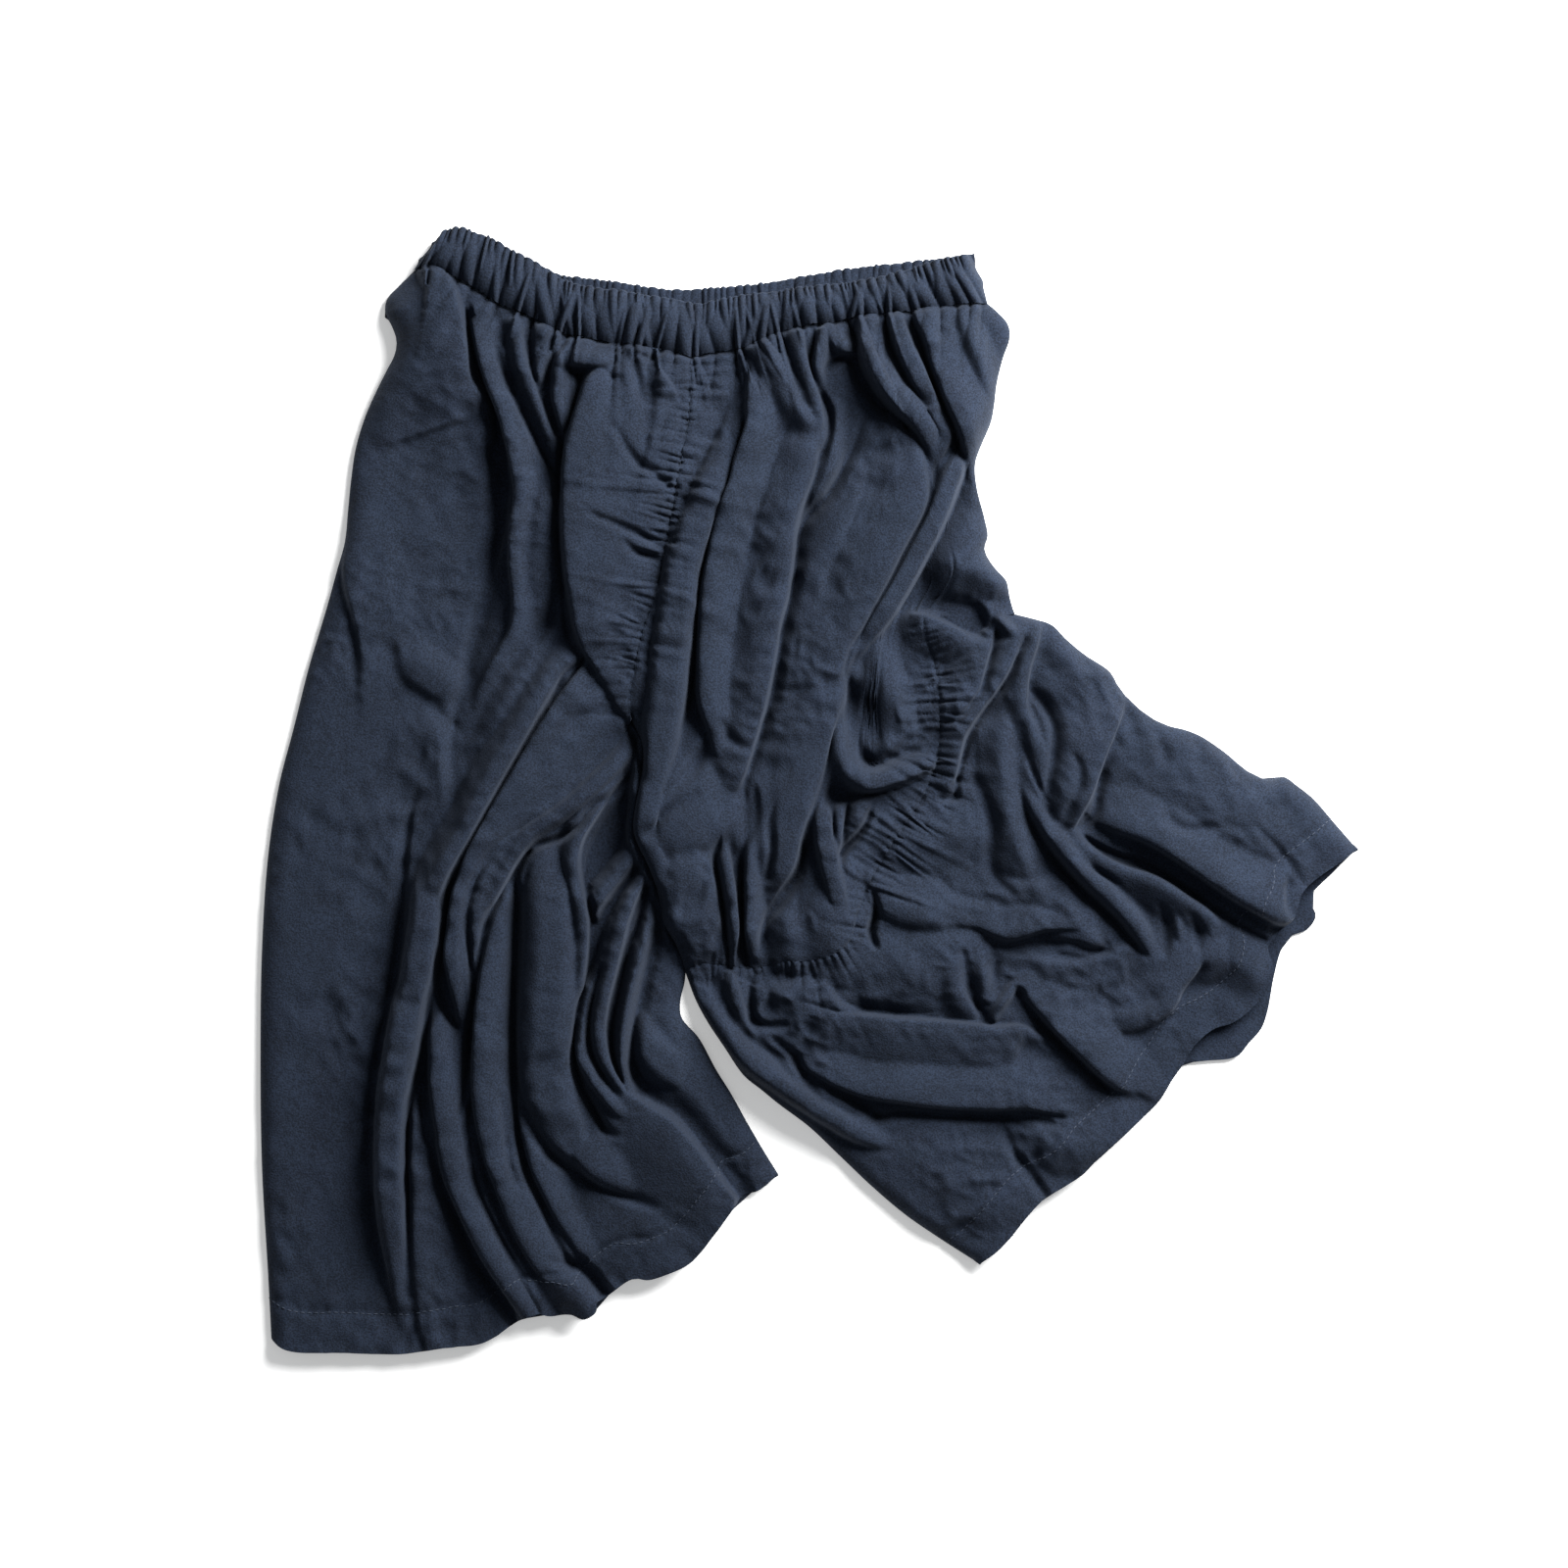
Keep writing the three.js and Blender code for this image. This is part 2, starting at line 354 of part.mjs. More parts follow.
addPiece("left_back", united(
  backSheet([[leftBackWaist, 8, true], [straight(leftBackWaist.getPointAt(0), CURVES.leftSide.getPointAt(0)), 1, false],
    [CURVES.leftSide, 34, false], [CURVES.backHem, 20, false], [CURVES.leftInner, INSEAM_ROWS, true],
    [leftBackCentre, 3, true]]),
  frontWall(
    { top: straight(CURVES.inseam.getPointAt(TURN_STARTS), CURVES.leftInner.getPointAt(TURN_STARTS)),
      bottom: CURVES.turnedHem, left: part(CURVES.inseam, TURN_STARTS, 1),
      right: part(CURVES.leftInner, TURN_STARTS, 1) },
    joinedHeight, 12, INSEAM_ROWS - 1)));

// ---- right leg down to the knee seam ---------------------------------------------------------------
const rightFrontHeight = frontHeight([[CURVES.rightSide, 18], [CURVES.rightInner, 9]]);
const lowerEdge = joined(CURVES.kneeSeam, CURVES.tuckedEdge, KNEE_ROWS / (KNEE_ROWS + TUCKED_ROWS));
addPiece("right_upper_front", frontWall(
  { top: smooth(EDGES.waistSeam.slice(8)), bottom: lowerEdge,
    left: joined(CURVES.centreSeam, CURVES.rightInner, 0.5), right: CURVES.rightSide },
  rightFrontHeight, KNEE_ROWS + TUCKED_ROWS, 2 * CENTRE_ROWS));

const rightBackWaist = smooth(backSeam.getSpacedPoints(20).slice(10).map((p) => [p.x, p.y]));
addPiece("right_upper_back", backSheet([[rightBackWaist, 8, true],
  [straight(rightBackWaist.getPointAt(0), CURVES.rightInner.getPointAt(0)), 3, false],
  [CURVES.rightInner, CENTRE_ROWS, false], [CURVES.kneeSeam, KNEE_ROWS, false],
  [CURVES.tuckedEdge, TUCKED_ROWS, false],
  [CURVES.rightSide, 16, true],
  [straight(CURVES.rightSide.getPointAt(0), rightBackWaist.getPointAt(1)), 1, false]]));

// ---- lower panel of the right leg ----------------------------------------------------------------
const lowerHeight = frontHeight([[CURVES.foldedEdge, 18], [CURVES.innerEdge, 14]]);
const outerEdge = joined(CURVES.tuckedEdge, CURVES.foldedEdge, TUCKED_ROWS / (TUCKED_ROWS + FOLDED_COLUMNS));
addPiece("right_lower_front", frontWall(
  { top: outerEdge, bottom: CURVES.innerEdge, left: reversed(CURVES.kneeSeam), right: reversed(CURVES.rightHem) },
  lowerHeight, TUCKED_ROWS + FOLDED_COLUMNS, KNEE_ROWS));
addPiece("right_lower_back", backSheet([[CURVES.kneeSeam, KNEE_ROWS, true], [CURVES.innerEdge, 12, false],
  [CURVES.backRightHem, 20, false], [CURVES.foldedEdge, FOLDED_COLUMNS, true],
  [CURVES.tuckedEdge, TUCKED_ROWS, true]]));

export default garment;
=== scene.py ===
"""Wide-leg bermuda shorts in slate-navy cotton and linen, laid out on their back. Lengths are in mm."""

import math

import bpy
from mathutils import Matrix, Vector
import numpy as np


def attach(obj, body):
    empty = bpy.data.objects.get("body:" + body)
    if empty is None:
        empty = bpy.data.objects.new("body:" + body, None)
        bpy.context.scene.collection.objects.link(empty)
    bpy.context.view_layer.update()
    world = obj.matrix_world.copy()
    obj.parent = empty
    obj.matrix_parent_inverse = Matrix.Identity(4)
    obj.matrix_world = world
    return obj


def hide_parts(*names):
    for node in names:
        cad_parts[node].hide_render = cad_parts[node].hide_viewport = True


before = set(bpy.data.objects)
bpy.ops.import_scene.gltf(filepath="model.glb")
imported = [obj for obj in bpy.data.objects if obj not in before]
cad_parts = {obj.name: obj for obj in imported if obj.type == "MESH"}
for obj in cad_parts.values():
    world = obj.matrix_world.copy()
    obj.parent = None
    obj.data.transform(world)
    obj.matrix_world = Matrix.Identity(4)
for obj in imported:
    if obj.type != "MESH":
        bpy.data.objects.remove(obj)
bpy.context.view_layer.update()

# ---- How the cloth lies --------------------------------------------------------------------------
# The shorts lie on their back with air between the layers, so the front stands up in folds. Each is
# given as a line of [x, y, lift] points down its crest, and how far its two flanks reach. A
# rolled flank ends in a crevice, where the roll of cloth hangs over its neighbour.

CELL = 1.0  # the lie of the cloth is worked out on a grid this fine
LOW, HIGH = np.array([-366.0, -374.0]), np.array([366.0, 374.0])
CRISP = 0.6  # how softly two rolls meet
STEP = 5.0  # a fold's line is followed in steps of this
FOLD_HEIGHT = 1.4  # the folds below stand this much taller, as air fills them
SPREAD = 1.7  # an open flank runs on until it meets the next fold
ROLLED_SPREAD = 1.15  # and a rolled one stops short against it
HANG = 0.24  # how far a rolled flank hangs over, as a share of its height
FURROW_DEPTH = 0.9  # furrows sink to this share of the depths given below
FURROW_SHARPNESS = 1.3
SOFTENED, LEAN_SOFTENED = 0.6, 1.2  # how far creases in the lie are smoothed away

grid_x, grid_y = np.meshgrid(
    np.arange(LOW[0], HIGH[0] + CELL, CELL), np.arange(LOW[1], HIGH[1] + CELL, CELL)
)


def run_along(line):
    """How far along a line each of its points is."""
    return np.concatenate([[0], np.cumsum(np.linalg.norm(np.diff(line[:, :2], axis=0), axis=1))])


def length_of(line):
    return float(run_along(line)[-1])


def evenly(line, count):
    """count points spread evenly along a line."""
    along = run_along(line)
    at = np.linspace(0, along[-1], count)
    return np.stack([np.interp(at, along, line[:, k]) for k in range(line.shape[1])], axis=1)


def smooth_line(points, step=STEP):
    """The points on a smooth curve through these ones, evenly spaced. Further columns follow along."""
    p = np.array(points, float)
    first, last = 2 * p[0] - p[1], 2 * p[-1] - p[-2]
    p = np.vstack([first, p, last])
    knots = np.sqrt(np.maximum(np.linalg.norm(np.diff(p[:, :2], axis=0), axis=1), 1e-6))
    fine = []
    for i in range(1, len(p) - 2):
        t0, t1, t2, t3 = 0, knots[i - 1], knots[i - 1] + knots[i], knots[i - 1 : i + 2].sum()
        t = np.linspace(t1, t2, 13)[:-1, None]
        a1 = (t1 - t) / (t1 - t0) * p[i - 1] + (t - t0) / (t1 - t0) * p[i]
        a2 = (t2 - t) / (t2 - t1) * p[i] + (t - t1) / (t2 - t1) * p[i + 1]
        a3 = (t3 - t) / (t3 - t2) * p[i + 1] + (t - t2) / (t3 - t2) * p[i + 2]
        b1 = (t2 - t) / (t2 - t0) * a1 + (t - t0) / (t2 - t0) * a2
        b2 = (t3 - t) / (t3 - t1) * a2 + (t - t1) / (t3 - t1) * a3
        fine.append((t2 - t) / (t2 - t1) * b1 + (t - t1) / (t2 - t1) * b2)
    fine = np.vstack(fine + [p[-2:-1]])
    return evenly(fine, max(2, int(round(length_of(fine) / step)) + 1))


def near_line(x, y, line):
    """For each place: its distance from a line, which side it is on (1 on the line's right), how far
    along the line it is, the line's other columns there, and the line's direction."""
    shape = x.shape
    x, y = x.ravel(), y.ravel()
    best = np.full(x.size, np.inf)
    side, along = np.zeros(x.size), np.zeros(x.size)
    rest = np.zeros((x.size, line.shape[1] - 2))
    way = np.zeros((x.size, 2))
    done = 0.0
    for a, b in zip(line[:-1], line[1:]):
        d = b[:2] - a[:2]
        size = math.hypot(*d)
        t = np.clip(((x - a[0]) * d[0] + (y - a[1]) * d[1]) / (size * size), 0, 1)
        gap_x, gap_y = x - a[0] - t * d[0], y - a[1] - t * d[1]
        far = gap_x * gap_x + gap_y * gap_y
        closer = far < best
        best[closer] = far[closer]
        side[closer] = np.sign(d[1] * gap_x - d[0] * gap_y)[closer]
        along[closer] = done + t[closer] * size
        rest[closer] = a[2:] + t[closer, None] * (b[2:] - a[2:])
        way[closer] = d / size
        done += size
    return (
        np.sqrt(best).reshape(shape),
        side.reshape(shape),
        along.reshape(shape),
        rest.reshape(shape + (-1,)),
        way.reshape(shape + (2,)),
    )


def window(points, reach):
    """The part of the grid within reach of some points."""
    low = np.floor((points[:, :2].min(0) - reach - LOW) / CELL).astype(int).clip(0)
    high = np.ceil((points[:, :2].max(0) + reach - LOW) / CELL).astype(int) + 1
    return slice(low[1], high[1]), slice(low[0], high[0])


# Folds that stand up: name, reach west and east of the line (on a line that runs across: below and
# above it), the flank that is rolled, and the line of [x, y, lift]. Lines run down or to the right.
FOLDS = [
    # left hip
    ("hip tuck", 3, 3, "", [
        (-262, 288, 2), (-256, 275, 5), (-253, 262, 6), (-251, 250, 6), (-253, 243, 3),
    ]),
    ("hip panel", 44, 5, "east", [
        (-236, 333, 4), (-230, 320, 9), (-226, 305, 11), (-223, 283, 12), (-220, 263, 11),
        (-212, 251, 8), (-206, 243, 5), (-205, 225, 3),
    ]),
    ("side layer", 3, 24, "west", [
        (-291, 182, 1), (-294, 160, 3), (-295, 140, 4), (-288, 110, 4), (-284, 82, 3), (-286, 62, 1),
    ]),
    ("second pleat", 4, 11, "west", [
        (-213, 300, 5), (-208, 279, 10), (-202, 259, 12), (-194, 240, 13), (-189, 222, 14),
        (-185, 202, 14), (-184, 186, 13), (-187, 168, 12), (-188, 145, 10), (-186, 122, 8),
        (-188, 104, 7), (-197, 88, 6), (-207, 72, 4), (-214, 58, 1),
    ]),
    ("third pleat", 5, 5, "east", [
        (-188, 298, 6), (-186, 280, 10), (-181, 262, 11), (-175, 248, 9), (-168, 232, 6),
        (-161, 218, 2),
    ]),
    ("fourth pleat", 8, 6, "", [(-165, 298, 5), (-170, 282, 9), (-173, 268, 8), (-173, 256, 3)]),
    ("band overhang", 4, 9, "west", [
        (-164, 272, 4), (-154, 276, 9), (-143, 275, 10), (-132, 274, 9), (-123, 278, 5), (-117, 283, 2),
    ]),
    # puff to the left of the centre seam
    ("left puff", 8, 62, "west", [
        (-132, 274, 4), (-136, 262, 10), (-141, 246, 13), (-145, 232, 15), (-149, 215, 16),
        (-150, 180, 17), (-149, 150, 16), (-144, 116, 15), (-141, 100, 14), (-134, 86, 12),
        (-124, 68, 10), (-116, 52, 6), (-112, 44, 2),
    ]),
    ("puff shoulder", 18, 30, "", [(-118, 262, 8), (-122, 238, 11), (-120, 220, 7)]),
    ("puff lower roll", 16, 20, "", [(-134, 150, 5), (-128, 120, 8), (-122, 92, 9), (-116, 70, 6)]),
    # between the centre seam and the right hip
    ("centre roll", 13, 12, "both", [
        (-41, 244, 4), (-50, 221, 8), (-61, 195, 13), (-70, 172, 15), (-80, 145, 16), (-84, 118, 17),
        (-88, 92, 17), (-90, 70, 17), (-92, 50, 16), (-96, 28, 15), (-100, 6, 14), (-103, -15, 14),
        (-103, -28, 13), (-98, -42, 12), (-90, -58, 10), (-86, -76, 7), (-84, -92, 2),
    ]),
    ("centre drape", 6, 20, "west", [
        (-33, 275, 5), (-35, 257, 9), (-36, 233, 13), (-43, 212, 14), (-46, 198, 15), (-51, 185, 15),
        (-56, 172, 15), (-60, 150, 14), (-64, 130, 14), (-66, 105, 14), (-66, 80, 13), (-65, 58, 13),
        (-60, 42, 12), (-56, 24, 9), (-52, 6, 5),
    ]),
    ("drape east", 22, 7, "east", [
        (0, 232, 8), (-1, 220, 12), (-4, 204, 13), (-11, 186, 14), (-15, 172, 14), (-17, 150, 14),
        (-20, 128, 14), (-25, 108, 14), (-28, 88, 14), (-33, 62, 14), (-38, 42, 13), (-43, 25, 12),
        (-48, 8, 10), (-53, -4, 6), (-56, -14, 2),
    ]),
    ("centre pleat", 4, 4, "west", [(9, 293, 7), (8, 284, 9), (5, 270, 8), (6, 258, 3)]),
    ("pleat beside", 6, 5, "west", [(13, 297, 4), (19, 287, 8), (26, 283, 8), (32, 284, 4)]),
    ("main drape", 34, 11, "east", [
        (63, 222, 6), (66, 206, 11), (68, 188, 13), (65, 178, 14), (60, 168, 14), (52, 153, 15),
        (44, 137, 15), (35, 120, 14), (28, 107, 13), (19, 92, 13), (13, 77, 13), (12, 62, 13),
        (9, 48, 13), (6, 35, 13), (2, 16, 13), (-1, 3, 13), (-5, -8, 13), (-11, -23, 12),
        (-15, -33, 12), (-17, -43, 11), (-22, -53, 8), (-28, -62, 3),
    ]),
    ("mid drape", 7, 5, "", [(18, 244, 3), (16, 224, 8), (13, 206, 9), (6, 191, 6)]),
    ("long roll", 7, 7, "both", [
        (96, 214, 5), (91, 202, 10), (85, 187, 12), (78, 170, 13), (69, 153, 13), (60, 136, 13),
        (50, 119, 13), (39, 103, 11), (29, 90, 7), (22, 80, 3),
    ]),
    ("far pleat one", 8, 10, "west", [
        (36, 303, 6), (37, 292, 9), (38, 281, 12), (43, 270, 14), (50, 259, 16), (61, 247, 16),
        (72, 236, 15), (78, 224, 11), (80, 214, 5),
    ]),
    ("far pleat two", 6, 6, "both", [
        (54, 303, 6), (59, 287, 10), (65, 273, 12), (70, 262, 13), (76, 250, 13), (81, 240, 12),
        (86, 230, 10), (82, 219, 8), (77, 209, 3),
    ]),
    ("far pleat three", 6, 17, "west", [
        (71, 303, 7), (78, 288, 10), (82, 274, 12), (87, 261, 14), (92, 249, 15), (98, 237, 15),
        (103, 222, 13), (105, 210, 7), (104, 202, 2),
    ]),
    ("hip edge roll", 8, 8, "", [(96, 302, 4), (104, 284, 8), (111, 266, 8), (114, 250, 5), (114, 238, 2)]),
    ("side swell", 11, 22, "", [(72, 147, 4), (84, 147, 8), (100, 143, 9), (118, 138, 6)]),
    # small rolls above the knee seam
    ("shoulder roll", 12, 5, "east", [
        (60, 112, 5), (71, 109, 9), (84, 104, 10), (95, 99, 10), (104, 93, 6),
    ]),
    ("v flap", 9, 9, "", [(42, 95, 5), (45, 80, 8), (49, 65, 9), (54, 50, 8), (57, 40, 5), (60, 32, 2)]),
    ("v flap east", 8, 12, "", [(24, 77, 4), (34, 70, 6), (44, 64, 7), (50, 60, 5)]),
    ("knee bag", 8, 7, "west", [
        (15, 50, 5), (17, 40, 10), (20, 28, 13), (26, 16, 14), (32, 10, 14), (39, 8, 14), (49, 10, 13),
        (60, 13, 11), (72, 18, 7), (80, 24, 2),
    ]),
    ("bag rib", 5, 5, "", [(42, 26, 3), (52, 32, 6), (62, 38, 4)]),
    ("knee ridge", 7, 6, "both", [
        (7, -4, 6), (9, -17, 11), (11, -35, 13), (14, -48, 14), (17, -62, 12), (20, -80, 9),
        (22, -98, 4),
    ]),
    ("lower roll one", 6, 3, "east", [
        (-54, -32, 4), (-53, -43, 10), (-51, -57, 12), (-49, -74, 13), (-48, -88, 12), (-49, -100, 8),
        (-50, -110, 3),
    ]),
    ("lower roll two", 4, 6, "west", [
        (-38, -14, 3), (-37, -36, 10), (-37, -56, 12), (-37, -74, 13), (-37, -90, 12), (-34, -104, 6),
    ]),
    ("lower roll three", 3, 5, "", [(-31, -2, 7), (-30, -20, 10), (-31, -40, 9), (-33, -54, 4)]),
    # left leg: the long folds that run down from the crotch
    ("first long fold", 9, 9, "east", [
        (-140, 92, 3), (-152, 87, 8), (-166, 72, 12), (-181, 49, 14), (-196, 23, 15), (-208, 1, 15),
        (-219, -20, 15), (-230, -40, 15), (-240, -58, 14), (-244, -74, 10), (-246, -88, 3),
    ]),
    ("second long fold", 5, 26, "west", [
        (-136, 84, 3), (-142, 77, 8), (-150, 66, 11), (-163, 48, 12), (-173, 32, 13), (-181, 18, 13),
        (-196, -7, 13), (-203, -20, 13), (-213, -38, 13), (-218, -52, 13), (-223, -68, 13),
        (-226, -85, 12), (-228, -102, 12), (-225, -120, 10), (-221, -142, 5), (-224, -152, 1),
    ]),
    ("seam fold", 8, 7, "east", [
        (-116, 30, 4), (-120, 24, 8), (-133, 10, 11), (-150, -5, 12), (-163, -14, 12), (-178, -24, 12),
        (-190, -40, 11), (-200, -58, 11), (-207, -74, 9), (-211, -92, 6), (-212, -110, 3),
    ]),
    ("twist strip", 8, 4, "east", [
        (-122, 10, 4), (-131, -2, 9), (-140, -15, 12), (-148, -29, 13), (-151, -43, 14),
        (-149, -60, 15), (-146, -76, 15), (-145, -95, 14), (-146, -120, 11), (-148, -140, 5),
    ]),
    ("hollow strip", 7, 5, "east", [
        (-112, -38, 4), (-122, -51, 7), (-132, -63, 8), (-140, -75, 6), (-144, -86, 2),
    ]),
    ("broad fold", 17, 17, "both", [
        (-158, -34, 4), (-163, -46, 9), (-164, -66, 14), (-164, -100, 16), (-166, -130, 16),
        (-168, -160, 15), (-167, -180, 14), (-163, -200, 13), (-155, -218, 10), (-142, -235, 5),
        (-130, -248, 1),
    ]),
    ("middle fold", 6, 16, "west", [
        (-190, -62, 2), (-196, -80, 6), (-201, -100, 10), (-206, -125, 12), (-208, -155, 13),
        (-209, -190, 13), (-204, -221, 13), (-196, -246, 13), (-187, -271, 12), (-174, -296, 10),
        (-158, -318, 5), (-150, -328, 2),
    ]),
    ("middle rib", 6, 8, "east", [
        (-203, -150, 2), (-199, -178, 5), (-197, -205, 7), (-193, -226, 6), (-190, -240, 2),
    ]),
    ("inner rib", 4, 12, "west", [
        (-184, -192, 3), (-181, -210, 8), (-176, -232, 9), (-168, -252, 8), (-158, -272, 6),
        (-146, -292, 3),
    ]),
    ("lower fold", 7, 14, "west", [
        (-236, -146, 3), (-237, -160, 8), (-235, -190, 12), (-231, -215, 13), (-227, -240, 13),
        (-217, -265, 13), (-206, -288, 13), (-196, -306, 12), (-184, -324, 8), (-176, -336, 4),
    ]),
    ("hem roll left", 4, 22, "west", [
        (-250, -176, 2), (-252, -200, 5), (-252, -240, 7), (-250, -286, 7), (-248, -320, 5),
        (-246, -345, 2),
    ]),
    ("flap", 10, 8, "east", [
        (-176, -300, 2), (-168, -304, 7), (-156, -314, 8), (-144, -324, 6), (-138, -330, 3),
    ]),
    # inside of the left leg, turned up over its edge
    ("inner roll one", 5, 6, "west", [
        (-137, -106, 3), (-141, -124, 9), (-145, -146, 12), (-144, -166, 12), (-136, -182, 12),
        (-125, -196, 12), (-116, -206, 10), (-108, -214, 3),
    ]),
    ("inner roll two", 6, 5, "east", [
        (-106, -50, 4), (-114, -66, 9), (-120, -82, 11), (-124, -98, 12), (-128, -114, 13),
        (-133, -134, 13), (-135, -154, 13), (-131, -172, 12), (-121, -191, 11), (-114, -203, 6),
    ]),
    ("inner roll three", 6, 6, "", [
        (-99, -76, 3), (-105, -96, 8), (-112, -120, 11), (-117, -144, 11), (-119, -166, 11),
        (-117, -184, 9), (-112, -198, 4),
    ]),
    ("inner step", 20, 5, "west", [
        (-116, -134, 3), (-106, -150, 6), (-95, -163, 7), (-84, -168, 5), (-77, -164, 1),
    ]),
    ("rim", 40, 4, "east", [
        (-124, -188, 6), (-112, -197, 11), (-100, -205, 12), (-90, -211, 13), (-80, -222, 13),
        (-70, -234, 12), (-60, -248, 11), (-50, -260, 8),
    ]),
    ("lobe step", 8, 30, "west", [
        (-152, -214, 3), (-146, -226, 8), (-138, -238, 10), (-126, -246, 9), (-112, -252, 6),
        (-100, -258, 2),
    ]),
    ("lobe swell", 26, 26, "", [(-120, -262, 4), (-96, -276, 6), (-76, -276, 4)]),
    ("back layer swell", 12, 12, "", [(-88, -148, 2), (-74, -176, 3), (-54, -214, 3), (-40, -240, 2)]),
    # right leg below the knee seam
    ("neck fold one", 12, 5, "east", [
        (114, 104, 5), (111, 92, 8), (107, 80, 9), (103, 66, 9), (95, 54, 8), (86, 46, 3),
    ]),
    ("neck fold two", 9, 4, "east", [
        (137, 106, 4), (132, 96, 7), (125, 82, 9), (118, 70, 9), (109, 58, 9), (101, 47, 9),
        (95, 36, 8), (92, 22, 7), (90, 9, 3),
    ]),
    ("neck fold three", 8, 5, "east", [
        (145, 109, 4), (141, 95, 8), (136, 80, 8), (134, 66, 8), (134, 54, 8), (138, 44, 8),
        (143, 34, 8), (147, 22, 8), (148, 10, 5), (149, 2, 3),
    ]),
    ("facet", 34, 6, "east", [
        (197, 58, 4), (193, 48, 9), (187, 34, 12), (180, 17, 13), (173, -2, 13), (166, -16, 9),
        (161, -25, 3),
    ]),
    ("shoulder swell", 20, 22, "", [(160, 96, 3), (172, 74, 7), (172, 50, 7), (168, 30, 4)]),
    ("sharp ridge", 8, 5, "west", [
        (137, 6, 3), (144, -7, 8), (152, -19, 10), (160, -30, 12), (170, -42, 13), (181, -54, 13),
        (194, -66, 13), (205, -78, 12), (213, -90, 10), (219, -103, 5),
    ]),
    ("second ridge", 12, 4, "east", [
        (166, -24, 5), (176, -36, 8), (188, -45, 9), (203, -52, 10), (217, -56, 11), (229, -62, 11),
        (239, -69, 11), (250, -76, 10), (258, -84, 8), (262, -94, 3),
    ]),
    ("upper roll", 5, 22, "west", [
        (182, -16, 3), (196, -21, 8), (211, -26, 11), (224, -32, 13), (240, -42, 14), (256, -53, 14),
        (272, -64, 14), (288, -73, 14), (302, -80, 11), (308, -78, 6),
    ]),
    ("upper slope", 30, 30, "", [(216, 24, 3), (246, 4, 7), (276, -18, 8), (300, -34, 5)]),
    ("tip swell", 20, 22, "", [(292, -6, 3), (312, -22, 4), (326, -34, 3)]),
    ("rear roll", 5, 5, "west", [(312, -80, 3), (320, -72, 5), (324, -68, 3)]),
    ("long shoulder", 10, 24, "", [
        (206, -100, 3), (222, -108, 5), (244, -106, 7), (266, -106, 7), (284, -114, 6), (292, -116, 3),
    ]),
    ("light crest", 6, 16, "west", [
        (196, -152, 3), (206, -147, 6), (220, -140, 8), (227, -135, 8), (233, -122, 8), (245, -109, 8),
        (259, -98, 4),
    ]),
    ("s fold", 5, 14, "west", [
        (92, -82, 3), (108, -83, 5), (124, -89, 7), (135, -88, 8), (147, -84, 8), (162, -83, 8),
        (175, -86, 8), (186, -93, 5),
    ]),
    ("s swell", 12, 16, "", [(60, -36, 3), (84, -30, 5), (104, -26, 4), (118, -34, 2)]),
    ("under knee swell", 10, 14, "west", [(44, -64, 3), (58, -74, 7), (80, -78, 7), (98, -76, 3)]),
    ("mid swell", 18, 22, "", [(30, -110, 4), (60, -112, 7), (92, -110, 6)]),
    ("lens fold", 9, 5, "east", [(92, -92, 3), (90, -112, 7), (95, -130, 7), (104, -142, 3)]),
    ("long diagonal", 5, 20, "west", [
        (140, -130, 5), (150, -140, 8), (160, -150, 10), (175, -165, 11), (187, -177, 10),
        (197, -185, 7), (206, -190, 3),
    ]),
    ("upper shelf", 26, 4, "east", [
        (-24, -128, 3), (-10, -134, 7), (6, -140, 8), (22, -144, 8), (40, -146, 10), (59, -148, 11),
        (80, -149, 11), (101, -151, 11), (120, -153, 10), (136, -152, 7), (146, -158, 3),
    ]),
    ("upper shelf west", 8, 10, "", [(-26, -132, 4), (-14, -130, 8), (4, -132, 8), (18, -136, 7)]),
    ("broad shelf", 4, 26, "west", [
        (-4, -172, 3), (14, -182, 7), (34, -190, 8), (60, -194, 10), (86, -197, 10), (118, -198, 10),
        (139, -198, 9), (160, -203, 6), (172, -208, 2),
    ]),
    ("inner roll low", 8, 8, "west", [
        (-72, -125, 3), (-60, -144, 8), (-47, -162, 10), (-34, -173, 10), (-18, -184, 10),
        (0, -196, 10), (14, -205, 9), (32, -216, 7), (52, -224, 3),
    ]),
    ("u roll", 5, 4, "east", [
        (-52, -116, 3), (-49, -124, 6), (-46, -136, 8), (-43, -148, 7), (-36, -156, 3),
    ]),
    ("hem swell low", 26, 30, "", [(60, -226, 3), (90, -240, 6), (116, -262, 5), (120, -280, 2)]),
    ("hem swell right", 12, 18, "", [(146, -218, 5), (158, -225, 8), (176, -224, 7), (196, -212, 3)]),
    # smaller folds and facets between them
    ("star", 8, 9, "", [
        (-142, -224, 3), (-130, -216, 6), (-116, -206, 9), (-100, -210, 7), (-88, -214, 4),
    ]),
    ("first long fold low", 10, 10, "both", [
        (-240, -50, 6), (-243, -64, 13), (-244, -80, 15), (-247, -100, 15), (-250, -118, 15),
        (-256, -140, 15), (-260, -162, 15), (-265, -193, 15), (-267, -224, 14), (-266, -265, 13),
        (-262, -293, 10), (-259, -321, 4), (-258, -336, 1),
    ]),
    ("shoulder rib", 8, 8, "", [
        (-172, 100, 2), (-178, 84, 6), (-188, 66, 7), (-198, 48, 6), (-206, 32, 2),
    ]),
    ("hip bow", 14, 8, "west", [
        (-262, 110, 1), (-256, 94, 3), (-247, 82, 5), (-236, 75, 5), (-226, 66, 4), (-224, 56, 2),
    ]),
    ("left facet", 12, 9, "", [
        (-262, 22, 1), (-252, 34, 3), (-244, 38, 4), (-236, 30, 4), (-232, 10, 3), (-233, -16, 1),
    ]),
    ("gusset", 7, 6, "", [(-116, 46, 5), (-108, 44, 7), (-101, 45, 5)]),
    ("lower bag", 26, 34, "west", [
